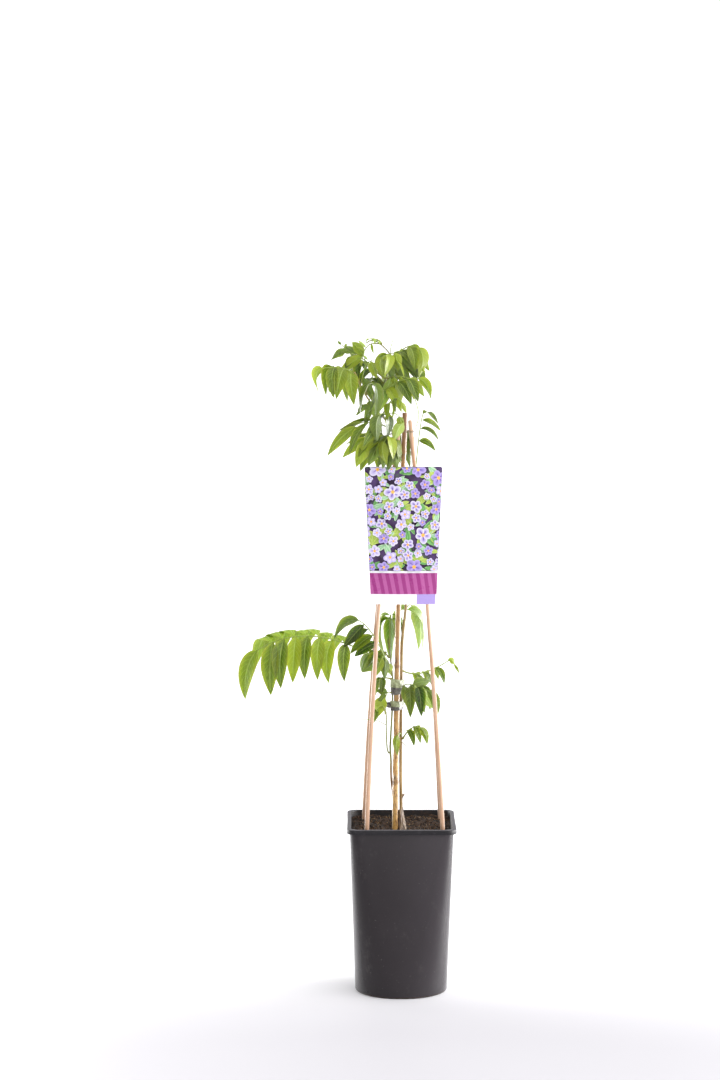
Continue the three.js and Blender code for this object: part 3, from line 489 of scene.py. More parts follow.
# ------------------------------------------------------------------ the canes
# Four pale split canes stand in the corners of the pot, bow a little and lean together at the
# top. Their skins are smooth with long fine streaks, and their tops are sawn off flat.
CANE_RADIUS = 3.0
CANE_TIP_RADIUS = 2.3
CANE_SIDES = 20
CANE_STEPS = 90
CANE_WORN = (0.14, 0.06)
CANE_TOP_EASE = (0.998, 0.2)
BEND_STEPS = 24
CANES = {
    "front_left": [(-43, -47, 112), (-43.5, -50, 215), (-28.2, -40, 497), (-3, -7, 718)],
    "front_right": [(49, -47, 112), (51, -50, 215), (31.6, -40, 497), (10.2, -7, 723)],
    "back_left": [(-44, 44, 112), (-46.6, 45, 213), (-28.6, 36, 497), (-2.4, 7.6, 716)],
    "back_right": [(48, 44, 112), (50.6, 45, 208), (33.4, 36, 497), (9.8, 7.8, 721)],
}


class Bend:
    """A smooth line through a row of places, walked by shares of its length."""

    def __init__(self, places):
        knots = [Vector(place) for place in places]
        row = [2 * knots[0] - knots[1], *knots, 2 * knots[-1] - knots[-2]]
        self.spots = [knots[0]]
        for before, start, end, after in zip(row, row[1:], row[2:], row[3:]):
            leave = start + (end - before) / 6
            arrive = end - (after - start) / 6
            self.spots += interpolate_bezier(start, leave, arrive, end, BEND_STEPS)[1:]
        self.reach = [0.0]
        for last, spot in zip(self.spots, self.spots[1:]):
            self.reach.append(self.reach[-1] + (spot - last).length)

    def at(self, share):
        """The place at a share of the length and the way the line runs there."""
        goal = share * self.reach[-1]
        after = min(max(bisect.bisect(self.reach, goal), 1), len(self.reach) - 1)
        run = self.spots[after] - self.spots[after - 1]
        within = (goal - self.reach[after - 1]) / (self.reach[after] - self.reach[after - 1])
        return self.spots[after - 1] + run * within, run.normalized()

    def share_at_height(self, height):
        low, high = 0.0, 1.0
        while high - low > 1e-5:
            middle = (low + high) / 2
            if self.at(middle)[0].z < height:
                low = middle
            else:
                high = middle
        return low


def straight_layer(bm):
    """Holds each point's place as if its rod lay straight, for grain that follows the rod."""
    layers = bm.verts.layers.float_vector
    return layers.get("straight") or layers.new("straight")


def rod(bm, bend, sides, steps, radius, seam=Vector((0, 1, 0))):
    """A round rod along a bend; `radius` gives its radius at a share and a turn."""
    straight = straight_layer(bm)
    verts = bmesh.ops.create_grid(bm, x_segments=sides, y_segments=steps, size=0.5)["verts"]
    rows = {}
    for vert in verts:
        turn = (vert.co.x + 0.5) * math.tau
        row = round((vert.co.y + 0.5) * steps)
        if row not in rows:
            share = row / steps
            spot, run = bend.at(share)
            side = (seam - run * seam.dot(run)).normalized()
            rows[row] = share, spot, side, run.cross(side)
        share, spot, side, other = rows[row]
        reach = radius(share, turn)
        flat = Vector((math.cos(turn), math.sin(turn))) * reach
        vert.co = spot + side * flat.x + other * flat.y
        vert[straight] = Vector((flat.x, flat.y, share * bend.reach[-1])) * MM
    bmesh.ops.remove_doubles(bm, verts=verts, dist=SEAM)
    return [vert for vert in verts if vert.is_valid]


split_cane = Finish("pale_split_cane", Specular_IOR_Level=0.3)
along = split_cane.layer("straight")
streaks = split_cane.grain(along, (900, 900, 12), 6.0, 0.65)
blotches = split_cane.grain(along, (120, 120, 22), 3.0)
body = split_cane.mix(blotches, tint(200, 163, 134), tint(221, 188, 160))
body = split_cane.stain(body, streaks, 0.42, 0.62, 0.85, tint(174, 124, 90))
specks = split_cane.grain(along, (500, 500, 160), 2.0)
body = split_cane.stain(body, specks, 0.68, 0.78, 0.5, tint(150, 108, 76))
split_cane.wear(body, split_cane.spread(streaks, 0.42, 0.6), streaks, 0.12)

cane_bends = {}
for number, (corner, places) in enumerate(CANES.items()):
    bend = Bend(places)
    cane_bends[corner] = bend

    def cane_radius(share, turn, number=number):
        taper = blend(CANE_RADIUS, CANE_TIP_RADIUS, share)
        place = ringed(turn, share * 24 + 7 * number)
        worn = CANE_WORN[0] * noise.noise(place) + CANE_WORN[1] * noise.noise(place * 3)
        level, depth = CANE_TOP_EASE
        return taper + worn - depth * max(0, (share - level) / (1 - level))

    cane = bmesh.new()
    rod(cane, bend, CANE_SIDES, CANE_STEPS, cane_radius)
    close_up(cane)
    finish_piece(corner + "_cane", cane, "cane", split_cane.material, replaces=["cane_" + corner])

# ------------------------------------------------------------------ the bamboo stake
# A golden bamboo stake stands in the middle and carries the vine. Each node is a raised ring
# with a dark scar under it, and a bud scar on one side. The skin is glossy with fine streaks.
STAKE_RADIUS = 3.7
STAKE_BUTT = 1.07
STAKE_TIP = 0.92
STAKE_SIDES = 24
STAKE_STEPS = 360
STAKE_KNOB = 1.1
STAKE_WORN = (0.2, 0.14)
STAKE_TOP_EASE = (0.9985, 0.25)
STAKE_NODES = [0.355, 0.56, 0.765, 0.93]
NODE_SWELL = 0.42
NODE_WIDTH = 0.0035
NODE_SCAR = 0.006
SCAR_DEPTH = 0.28
BUD_LENGTH = 0.006
BUD_WIDTH = 0.5
BUD_SCAR_WIDTH = 0.55
BUD_SCARS = [(0.361, 2.85), (0.5665, 2.6), (0.768, -0.6), (0.933, 2.0)]
stake_bend = Bend([(-10, -13, 14), (-7.9, -10, 207), (-3.8, -5, 492), (4, 0, 732)])


def from_bud(share, turn, level, side, width):
    """How far a place on the stake is from a bud scar, squared, in the scar's own sizes."""
    return ((share - level) / BUD_LENGTH) ** 2 + (math.remainder(turn - side, math.tau) / width) ** 2


def stake_radius(share, turn):
    taper = STAKE_RADIUS * blend(STAKE_BUTT, STAKE_TIP, share)
    for node in STAKE_NODES:
        above = (share - node) / NODE_WIDTH
        taper += NODE_SWELL * math.exp(-above * above)
        below = (share - node + NODE_SCAR) / (0.5 * NODE_WIDTH)
        taper -= SCAR_DEPTH * math.exp(-below * below)
    for level, side in BUD_SCARS:
        taper += STAKE_KNOB * math.exp(-from_bud(share, turn, level, side, BUD_WIDTH) * 1.6)
    place = ringed(turn, share * 18)
    worn = STAKE_WORN[0] * noise.noise(place) + STAKE_WORN[1] * noise.noise(place * 3.1)
    level, depth = STAKE_TOP_EASE
    return taper + worn - depth * max(0, (share - level) / (1 - level))


stake = bmesh.new()
scar_layer = stake.verts.layers.float.new("scar")
stake_verts = rod(stake, stake_bend, STAKE_SIDES, STAKE_STEPS, stake_radius)
straight = straight_layer(stake)
for vert in stake_verts:
    place = vert[straight] / MM
    share = place.z / stake_bend.reach[-1]
    turn = math.atan2(place.y, place.x)
    dark = 0.0
    for node in STAKE_NODES:
        below = (share - node + 0.6 * NODE_SCAR) / (0.9 * NODE_WIDTH)
        dark = max(dark, 0.5 * math.exp(-below * below))
    for level, side in BUD_SCARS:
        dark = max(dark, math.exp(-from_bud(share, turn, level, side, BUD_SCAR_WIDTH)))
    vert[scar_layer] = dark
close_up(stake)
bamboo = Finish("golden_bamboo", Specular_IOR_Level=0.5)
along = bamboo.layer("straight")
scar = bamboo.layer("scar", "Fac")
streaks = bamboo.grain(along, (1100, 1100, 9), 6.0, 0.7)
patches = bamboo.grain(along, (190, 190, 20), 4.0, 0.6)
stains = bamboo.grain(along, (260, 260, 90), 5.0, 0.7)
body = bamboo.mix(bamboo.spread(patches), tint(206, 158, 84), tint(240, 204, 134))
body = bamboo.stain(body, streaks, 0.42, 0.62, 0.8, tint(160, 108, 54))
body = bamboo.stain(body, stains, 0.5, 0.6, 0.9, tint(112, 70, 36))
along_up = bamboo.split(along)[2]
browned = bamboo.step(along_up, 0.26, 0.38, 0.0, 0.7)
body = bamboo.mix(browned, body, bamboo.mix(streaks, tint(92, 60, 34), tint(198, 152, 96)))
# Darker brown toward the top, partly a brown stain and partly painted shade where the crown of leaves
# shades the stake.
stained_and_shaded_top = bamboo.step(along_up, 0.63, 0.7, 0.0, 0.75)
body = bamboo.mix(stained_and_shaded_top, body, bamboo.mix(streaks, tint(84, 54, 36), tint(166, 118, 84)))
body = bamboo.mix(scar, body, tint(74, 46, 26))
bamboo.wear(body, bamboo.spread(patches, 0.3, 0.48), streaks, 0.1)
finish_piece("stake_of_bamboo", stake, "bamboo", bamboo.material, replaces=["bamboo_stake"])

# ------------------------------------------------------------------ the tie at the canes' tops
# A thin wire with a dull coat goes twice round the tops of the four canes and the stake. Its two
# ends are twisted together at the back.
TIE_LEVEL = 709
TIE_RADIUS = 0.32
TIE_TURNS = 2
TIE_PITCH = 0.6
TIE_TWISTS = 5
WIRE_STEPS = 40
TWIST_STEPS = 14
TWIST_RADIUS = 0.5
TWIST_REACH = 6
TWIST_DROP = 1.5
TWIST_FLARE = (0.85, 2.2)
TOUCH = 0.3
BAND_EASE = 0.35


def band_spot(rods, angle, offset):
    """A place on a band drawn tight round several rods, given as centres with radii."""
    way = Vector((math.cos(angle), math.sin(angle)))
    centre, radius = max(rods, key=lambda rod: rod[0].dot(way) + rod[1])
    return centre + way * (radius + offset)


def rod_at(bend, height, radius):
    spot = bend.at(bend.share_at_height(height))[0]
    return spot.xy, radius + BAND_EASE


tops = [rod_at(bend, TIE_LEVEL, CANE_TIP_RADIUS) for bend in cane_bends.values()]
tops.append(rod_at(stake_bend, TIE_LEVEL, STAKE_RADIUS))
wire_path = []
for step in range(TIE_TURNS * WIRE_STEPS + 1):
    angle = QUARTER + math.tau * step / WIRE_STEPS
    spot = band_spot(tops, angle, TOUCH + TIE_RADIUS)
    rise = TIE_PITCH * math.tanh(2 * (step / WIRE_STEPS - 0.5 * TIE_TURNS))
    wire_path.append((spot.x, spot.y, TIE_LEVEL + rise))
twist_foot = Vector(wire_path[-1])
wire = bmesh.new()
rod(wire, Bend(wire_path), 8, 220, lambda share, turn: TIE_RADIUS, Vector((0, 0, 1)))
for phase in (0, math.pi):
    twist_path = []
    for step in range(TWIST_STEPS + 1):
        share = step / TWIST_STEPS
        angle = phase + share * TIE_TWISTS * math.pi
        flare_from, flare = TWIST_FLARE
        swing = TWIST_RADIUS * (1 + flare * max(0, share - flare_from))
        out = Vector((0, TOUCH + TWIST_REACH * share, -TWIST_DROP * share))
        twist_path.append(twist_foot + Vector((math.cos(angle), 0, math.sin(angle))) * swing + out)
    rod(wire, Bend(twist_path), 8, 60, lambda share, turn: 0.9 * TIE_RADIUS, Vector((0, 0, 1)))
close_up(wire)
coated = Finish("dull_coated_wire", Specular_IOR_Level=0.5)
place = coated.place()
dusty = coated.grain(place, 700, 4.0)
body = coated.mix(dusty, tint(112, 96, 74), tint(150, 132, 104))
coated.wear(body, coated.spread(dusty, 0.4, 0.6), dusty, 0.1)
finish_piece("wire_tie", wire, "tie_wire", coated.material, replaces=["cane_tie"])

# ------------------------------------------------------------------ the stems
# The brown vine climbs beside the stake from a pale flared root, passes behind the label and
# turns into the crown. A greener stem, its thin fork and the shoot at the top are young growth,
# smooth where the old wood has furrows, pores and a pruned stub.
STEMS = {
    "woody_stem": {
        "route": [
            (1, -9, 170), (0, -9, 206), (-0.3, -7.8, 244), (-0.8, -4.6, 281), (-0.6, -3.4, 332),
            (-0.2, -2, 383), (0.8, -1.6, 441), (5.6, -3, 491), (8.5, 3, 545), (4, 9, 605),
            (-5, 7, 662), (-11.5, -1, 706), (-20, -6, 723), (-32, -10, 736), (-42, -10, 750),
            (-50, -6, 763), (-55, -5, 775), (-59, -4, 783),
        ],
        "radius": (2.3, 1.0),
    },
    "green_stem": {
        "route": [
            (-8.6, -2.6, 180), (-8.4, -2.8, 212), (-9.8, -2.8, 245), (-12.8, -7, 272), (-13.2, -9.4, 295),
            (-14, -9, 313), (-11.8, -8, 356), (-11.3, -7, 378), (-11.3, -6.4, 400),
            (-14, 4, 425), (-17, 14, 446),
        ],
        "radius": (1.7, 0.9),
    },
    "crown_shoot": {
        "route": [
            (-32.3, -12.2, 738.3), (-27, -8, 751), (-23, -2, 763), (-20, 0, 775), (-15, 0, 788),
            (-13, 0, 798), (-17, 0, 808), (-30, 0, 820), (-38, 0, 822), (-44, 0, 819),
        ],
        "radius": (1.3, 0.7),
    },
    "side_shoot": {
        "route": [
            (-15.9, -10.3, 304), (-18, -12, 312), (-19, -12, 334), (-19, -13, 352), (-21, -16, 366),
        ],
        "radius": (1.0, 0.7),
    },
}
ROOTS = [
    [(0.0, -8.4, 246), (1.2, -9.4, 230), (2.8, -10.8, 214), (5.2, -12, 204), (7.4, -12.6, 192)],
    [(-0.2, -8.6, 240), (0.2, -10.2, 226), (0.4, -11.6, 212), (-0.2, -12.6, 202), (-0.6, -13, 192)],
    [(0.4, -7.6, 234), (2.4, -6.8, 222), (4.2, -6, 212), (6.2, -5.6, 200), (7.0, -5.4, 192)],
]
PRUNED_STUB = [(-0.4, -7.4, 244), (1.6, -9.2, 248.6), (3.4, -10.4, 252)]
ROOT_FLARE = 1.9
ROOT_FLARE_END = 0.075
stem_bends = {name: Bend(stem["route"]) for name, stem in STEMS.items()}


def stem_thickness(name, share):
    flare = ROOT_FLARE * max(0, 1 - share / ROOT_FLARE_END) if name == "woody_stem" else 0
    return blend(*STEMS[name]["radius"], share) + flare


def bark_radius(share, turn):
    place = ringed(turn, share * 45, 0.9)
    ridges = 0.10 * math.sin(3 * turn + share * 30) + 0.26 * noise.fractal(place, 0.8, 2.1, 3)
    return stem_thickness("woody_stem", share) * (1 + 0.13 * ridges) + 0.16 * ridges


bark = Finish("woody_bark", Specular_IOR_Level=0.25)
along = bark.layer("straight")
up = bark.split(along)[2]
furrows = bark.grain(along, (800, 800, 60), 7.0, 0.7)
patches = bark.grain(along, (260, 260, 50), 4.0, 0.6)
young = bark.step(up, 0.14, 0.5)
body = bark.mix(young, tint(170, 142, 94), tint(156, 144, 84))
body = bark.mix(bark.step(furrows, 0.34, 0.56), tint(104, 78, 50), body)
body = bark.stain(body, patches, 0.5, 0.72, 0.6, tint(188, 160, 124))
chalk = bark.sum("MULTIPLY", bark.step(up, 0.07, 0.045), bark.step(patches, 0.34, 0.6, 0.35, 1.0))
chalky = bark.mix(bark.step(furrows, 0.36, 0.58), tint(120, 98, 84), tint(214, 198, 186))
body = bark.mix(chalk, body, chalky)
dots = {"Vector": bark.stretched(along, (330, 330, 150)), "Scale": 1.0}
pore = bark.step(bark.add("TexVoronoi", dots, "Distance"), 0.22, 0.12, 0.0, 0.8)
body = bark.mix(pore, body, tint(196, 170, 130))
relief = bark.sum("ADD", furrows, bark.sum("MULTIPLY", pore, 0.35))
bark.wear(body, bark.spread(furrows, 0.62, 0.85), relief, 0.55)


def root_radius(share, turn):
    place = ringed(turn, share * 9)
    ridge = 0.35 * math.sin(3 * turn + 9 * share) + 0.8 * noise.fractal(place, 0.8, 2.1, 3)
    return 1.0 + 0.9 * share + ridge * (0.5 + share)


def stub_radius(share, turn):
    """A pruned stub near the foot, thicker where the wound has healed round its end."""
    return 1.35 - 0.25 * share + 0.25 * math.exp(-((share - 0.9) / 0.1) ** 2)


vine = bmesh.new()
rod(vine, stem_bends["woody_stem"], 18, 420, bark_radius)
for root in ROOTS:
    rod(vine, Bend(root), 14, 44, root_radius)
rod(vine, Bend(PRUNED_STUB), 12, 16, stub_radius)
close_up(vine)
finish_piece("woody_vine", vine, "bark", bark.material, replaces=["woody_stem"])

green_bark = Finish("green_shoot_skin", Specular_IOR_Level=0.4)
along = green_bark.layer("straight")
lines = green_bark.grain(along, (900, 900, 25), 5.0, 0.6)
patches = green_bark.grain(along, (160, 160, 40), 3.0)
body = green_bark.mix(patches, tint(104, 112, 58), tint(140, 146, 78))
body = green_bark.stain(body, lines, 0.5, 0.7, 0.7, tint(112, 84, 52))
woody = green_bark.step(green_bark.split(green_bark.place())[2], 0.305, 0.275)
body = green_bark.mix(woody, body, green_bark.mix(lines, tint(128, 98, 62), tint(168, 134, 90)))
green_bark.wear(body, green_bark.spread(lines, 0.42, 0.6), lines, 0.2)

for name in ("green_stem", "crown_shoot", "side_shoot"):

    def shoot_radius(share, turn, name=name):
        place = ringed(turn, share * 22)
        return stem_thickness(name, share) * (1 + 0.1 * noise.noise(place))

    shoot = bmesh.new()
    rod(shoot, stem_bends[name], 14, 160, shoot_radius)
    close_up(shoot)
    finish_piece(name + "_skin", shoot, "green_stem", green_bark.material, replaces=[name])

# ------------------------------------------------------------------ the tape ties
# Two soft grey-green tapes hold the stems to the stake. Each goes round twice, creased where it
# is drawn tight, and the lower one is knotted on the left with two short ends.
TAPE_HEIGHT = 11
TAPE_STEPS = 120
TAPE_FILM = 0.45
TAPE_PUCKER = 0.45
TAPE_RAGGED = 0.4
# each wrap has its lower and upper edge, how far out it lies, its tilt, a seed and its finish: 1 for the
# darker copy of the tape, painted shade, 0 for the sage one
TAPE_WRAPS = {
    "upper_tape": (385, [(-5.5, 3.6, 0.1, 1.2, 3, 1), (1.6, 12.0, 0.6, -1.1, 8, 0)]),
    "lower_tape": (359, [(0.2, 6.6, 0.1, 1.1, 5, 1), (3.4, 10.6, 0.6, -1.0, 2, 0)]),
}
KNOT_SIZE = Vector((3.2, 2.7, 3.3))
KNOT_OUT = 2.0
KNOT_RISE = Vector((0, -0.6, 1.2))
KNOT_ENDS = [(Vector((-9.2, -2, 5)), 0.4), (Vector((-7.6, 1.5, -3.8)), 1.2)]
KNOT_END_RADII = (1.5, 1.7)


def tied_rods(bottom, height):
    level = bottom + height
    rods = [rod_at(stake_bend, level, STAKE_RADIUS * STAKE_BUTT)]
    for name in ("woody_stem", "green_stem"):
        share = stem_bends[name].share_at_height(level)
        rods.append(rod_at(stem_bends[name], level, stem_thickness(name, share)))
    return rods


def wrap_tape(bm, bottom, low, high, offset, tilt, seed):
    """One turn of tape between two heights, tilted and creased."""
    middle = tied_rods(bottom, 0.5 * TAPE_HEIGHT)

    def tape_place(turn, share):
        angle = math.tau * turn
        rise = 0.5 * (1 - math.cos(math.tau * share))
        level = blend(low, high, rise) + tilt * math.sin(angle + 0.6)
        crease = ringed(angle, level * 0.35 + seed, 2.2)
        pucker = 1.1 * abs(noise.noise(crease * 1.3)) + 0.35 * math.sin(5 * angle + seed + level * 0.5)
        ragged = TAPE_RAGGED * noise.noise(ringed(angle, seed * 3 + round(rise), 3))
        film = TAPE_FILM if share < 0.5 else 0
        spot = band_spot(middle, angle, TOUCH + offset + film + TAPE_PUCKER * pucker)
        return Vector((spot.x, spot.y, bottom + level + ragged))

    rolled(bm, TAPE_STEPS, 16, tape_place)


def tape_finish(name, light, dark):
    film = Finish(name, Specular_IOR_Level=0.45)
    place = film.place()
    cloudy = film.grain(place, 240, 5.0, 0.6)
    fine = film.grain(place, (300, 300, 1600), 4.0)
    body = film.mix(film.step(cloudy, 0.35, 0.66), dark, light)
    return film.wear(body, film.spread(fine, 0.36, 0.55), fine, 0.15)


sage_tape = tape_finish("sage_tape", tint(176, 184, 144), tint(130, 134, 100))
# A darker copy of the same tape for the inner wrap and the knot: painted shade.
shaded_tape = tape_finish("tape_painted_shade", tint(124, 121, 112), tint(72, 68, 66))

for name, (bottom, wraps) in TAPE_WRAPS.items():
    tape = bmesh.new()
    for low, high, offset, tilt, seed, shaded_wrap in wraps:
        before = set(tape.faces)
        wrap_tape(tape, bottom, low, high, offset, tilt, seed)
        for face in set(tape.faces) - before:
            face.material_index = shaded_wrap
    if name == "lower_tape":
        left = band_spot(tied_rods(bottom, 0.5 * TAPE_HEIGHT), math.pi, TOUCH)
        middle = Vector((left.x - KNOT_OUT, left.y, bottom + 0.55 * TAPE_HEIGHT))

        def knot_place(turn, share):
            angle = math.tau * turn
            tip = math.pi * share
            flat = Vector((math.cos(angle), math.sin(angle))) * math.sin(tip)
            way = Vector((flat.x, flat.y, -math.cos(tip)))
            puff = 1 + 0.3 * noise.noise(way * 2.1) + 0.16 * math.sin(5 * angle + 3 * way.z)
            return middle + way * KNOT_SIZE * puff

        before = set(tape.faces)
        rolled(tape, 28, 16, knot_place)
        for reach, roll in KNOT_ENDS:
            end = Bend([middle, middle + reach * 0.5 + KNOT_RISE, middle + reach])

            def end_radius(share, turn, roll=roll):
                flatness = 0.35 + 0.65 * abs(math.cos(turn - roll - 1.5 * share))
                return blend(*KNOT_END_RADII, share) * flatness

            rod(tape, end, 16, 18, end_radius)
        # the knot takes the darker copy of the tape too: painted shade
        for face in set(tape.faces) - before:
            face.material_index = 1
    close_up(tape)
    node = "tape_tie_upper" if name == "upper_tape" else "tape_tie_lower"
    finish_piece(name, tape, "tie_tape", sage_tape, shaded_tape, replaces=[node])

# ------------------------------------------------------------------ the picture label
# A printed plastic card leans on the two front canes and curls back at its sides. Its picture
# is a plain pattern of open blossoms and leaves over a violet ground, with a slant-striped
# purple band and a white strip below. The card carries no words.
LABEL_THICKNESS = 0.8
LABEL_BOTTOM = 497
LABEL_TOP = 666
LABEL_TOP_WIDTH = 97
LABEL_BOTTOM_WIDTH = 81
LABEL_CENTRE = 2
LABEL_BOW = 2.5
LABEL_EASE = 0.1
LABEL_CORNER = 3.0
LABEL_COLUMNS = 16
LABEL_ROWS = 24
LABEL_LEVELS = 40
PICTURE_FROM = 0.243
BAND_FROM = 0.0735
BAND_TO = 0.228
TAB_FROM = 0.698
TAB_TO = 0.98
PRINT_EDGE = 0.002
card_height = LABEL_TOP - LABEL_BOTTOM
print_random = random.Random(23)


def card_half(up):
    return blend(LABEL_BOTTOM_WIDTH, LABEL_TOP_WIDTH, up) / 2


def card_back(x, z):
    """How far forward the back of the card stands at a place of it."""
    up = (z - LABEL_BOTTOM) / card_height
    seats = []
    for corner in ("front_left", "front_right"):
        share = cane_bends[corner].share_at_height(z)
        spot = cane_bends[corner].at(share)[0]
        radius = blend(CANE_RADIUS, CANE_TIP_RADIUS, share)
        curl = LABEL_BOW * ((spot.x - LABEL_CENTRE) / card_half(up)) ** 2
        seats.append(spot.y - radius - TOUCH - LABEL_EASE - curl)
    return min(seats) + LABEL_BOW * ((x - LABEL_CENTRE) / card_half(up)) ** 2


label_levels = [LABEL_BOTTOM + card_height * k / LABEL_LEVELS for k in range(LABEL_LEVELS + 1)]
seat_levels = [card_back(LABEL_CENTRE, z) for z in label_levels]


def card_front(x, z):
    """The same for its printed face, from a row of seats worked out once."""
    up = min(max((z - LABEL_BOTTOM) / card_height, 0), 1)
    row = min(int(up * LABEL_LEVELS), LABEL_LEVELS - 1)
    seat = blend(seat_levels[row], seat_levels[row + 1], up * LABEL_LEVELS - row)
    return seat + LABEL_BOW * ((x - LABEL_CENTRE) / card_half(up)) ** 2 - LABEL_THICKNESS


card = bmesh.new()
corners = bmesh.ops.create_grid(card, x_segments=1, y_segments=1, size=0.5)["verts"]
for vert in corners:
    up = vert.co.y + 0.5
    vert.co = Vector((LABEL_CENTRE + 2 * vert.co.x * card_half(up), 0, LABEL_BOTTOM + up * card_height))
bmesh.ops.bevel(
    card, geom=corners, offset=LABEL_CORNER, offset_type="OFFSET", affect="VERTICES", segments=6,
    profile=0.5, material=-1,
)
for column in range(1, LABEL_COLUMNS):
    x = LABEL_CENTRE + LABEL_TOP_WIDTH * (column / LABEL_COLUMNS - 0.5)
    geometry = card.verts[:] + card.edges[:] + card.faces[:]
    bmesh.ops.bisect_plane(card, geom=geometry, plane_co=(x, 0, 0), plane_no=(1, 0, 0))
for row in range(1, LABEL_ROWS):
    z = LABEL_BOTTOM + card_height * row / LABEL_ROWS
    geometry = card.verts[:] + card.edges[:] + card.faces[:]
    bmesh.ops.bisect_plane(card, geom=geometry, plane_co=(0, 0, z), plane_no=(0, 0, 1))
for face in card.faces:
    if face.normal.y > 0:
        face.normal_flip()
for vert in card.verts:
    vert.co.y = card_front(vert.co.x, vert.co.z)
bmesh.ops.solidify(card, geom=card.faces[:], thickness=LABEL_THICKNESS)
printed_uv = card.loops.layers.uv.new("print")
card.normal_update()
for face in card.faces:
    face.material_index = 0 if face.normal.y < -0.5 else 1
    for loop in face.loops:
        up = (loop.vert.co.z - LABEL_BOTTOM) / card_height
        across = (loop.vert.co.x - LABEL_CENTRE) / card_half(up)
        loop[printed_uv].uv = (0.5 + 0.5 * across, up)

printing = Finish("printed_card", Specular_IOR_Level=0.5, Coat_Weight=0.15, Coat_Roughness=0.2)
uv = printing.add("UVMap", {}, uv_map="print")
across, up = printing.split(uv)[:2]
soft = printing.grain(uv, (5, 9, 1), 2.0, 0.4)
haze = printing.grain(printing.stretched(uv, (9, 12, 1)), 1.3, 1.0, 0.4)
ground = printing.mix(printing.step(soft, 0.34, 0.62), tint(46, 28, 54), tint(84, 60, 108))
ground = printing.mix(printing.step(haze, 0.58, 0.7, 0.0, 0.45), ground, tint(88, 118, 62))
stripes = printing.stretched(uv, (14.0, 5.0, 1))
stripes = {"Vector": stripes, "Scale": 0.4, "Distortion": 0.4, "Detail": 1.0}
slants = printing.add("TexWave", stripes, 1, wave_type="BANDS", bands_direction="DIAGONAL")
purple = printing.mix(printing.step(slants, 0.4, 0.6), tint(152, 52, 124), tint(178, 88, 152))
white = tint(244, 243, 247)
inside_tab = printing.step(across, TAB_FROM, TAB_FROM + 0.004)
inside_tab = printing.sum("MULTIPLY", inside_tab, printing.step(across, TAB_TO + 0.005, TAB_TO))
body = printing.mix(inside_tab, white, tint(170, 150, 214))
for level, above in ((BAND_FROM, purple), (BAND_TO, white), (PICTURE_FROM, ground)):
    body = printing.mix(printing.step(up, level - PRINT_EDGE, level + PRINT_EDGE), body, above)
sheen = printing.grain(printing.place(), 60, 2.0)
printing.wear(body, printing.spread(sheen, 0.24, 0.34), sheen, 0.1, 0.3)

card_stock = Finish("white_card_back", Specular_IOR_Level=0.5)
sheen = card_stock.grain(card_stock.place(), 80, 3.0)
body = card_stock.mix(sheen, tint(232, 231, 236), tint(244, 243, 247))
card_stock.wear(body, card_stock.spread(sheen, 0.32, 0.44), sheen, 0.1, 0.3)
finish_piece(
    "picture_label", card, "label", printing.material, card_stock.material, replaces=["label_card"],
)

LAYER_LIFT = 0.05
LAYER_STEP = 0.004
PRINT_MARGIN = 0.4
petals = bmesh.new()
ink = petals.loops.layers.float_color.new("ink")
layers = itertools.count()
picture_low = LABEL_BOTTOM + PICTURE_FROM * card_height


def print_blade(foot, angle, length, width, heart, rim, point=1.0):
    """A petal or leaf of the picture: a pointed oval from its foot, paler or darker at its heart."""
    made = bmesh.ops.create_circle(petals, cap_ends=True, cap_tris=True, segments=14, radius=1)["verts"]
    lift = LAYER_LIFT + LAYER_STEP * next(layers)
    for vert in made:
        middle = vert.co.length < 0.5
        along = 0.5 + 0.5 * vert.co.x
        narrow = 1 - point * max(0, along - 0.45) ** 1.6
        flat = Vector((along * length, 0.5 * width * vert.co.y * narrow))
        flat = Matrix.Rotation(angle, 2) @ flat + Vector(foot)
        flat.y = min(max(flat.y, picture_low + 1.5 * PRINT_MARGIN), LABEL_TOP - PRINT_MARGIN)
        edge = card_half((flat.y - LABEL_BOTTOM) / card_height) - PRINT_MARGIN
        flat.x = min(max(flat.x, LABEL_CENTRE - edge), LABEL_CENTRE + edge)
        vert.co = Vector((flat.x, card_front(flat.x, flat.y) - lift, flat.y))
        for loop in vert.link_loops:
            loop[ink] = heart if middle else rim


PETALS = 5
BLOSSOM_TRIES = 900
BLOSSOM_SIZES = (4.2, 10.5)
BLOSSOM_GAP = 0.86
PRINTED_WHITE = tint(228, 222, 243)
PRINTED_LILAC = tint(184, 168, 224)
PRINTED_BLUE = tint(132, 112, 190)
PRINTED_VIOLET = tint(88, 58, 144)
PRINTED_YELLOW = tint(248, 214, 96)
PRINTED_ORANGE = tint(240, 158, 68)
LIME = (tint(204, 220, 118), tint(152, 186, 70))
MID_GREEN = (tint(140, 198, 118), tint(76, 146, 78))
PALE_GREEN = (tint(200, 228, 192), tint(130, 190, 136))


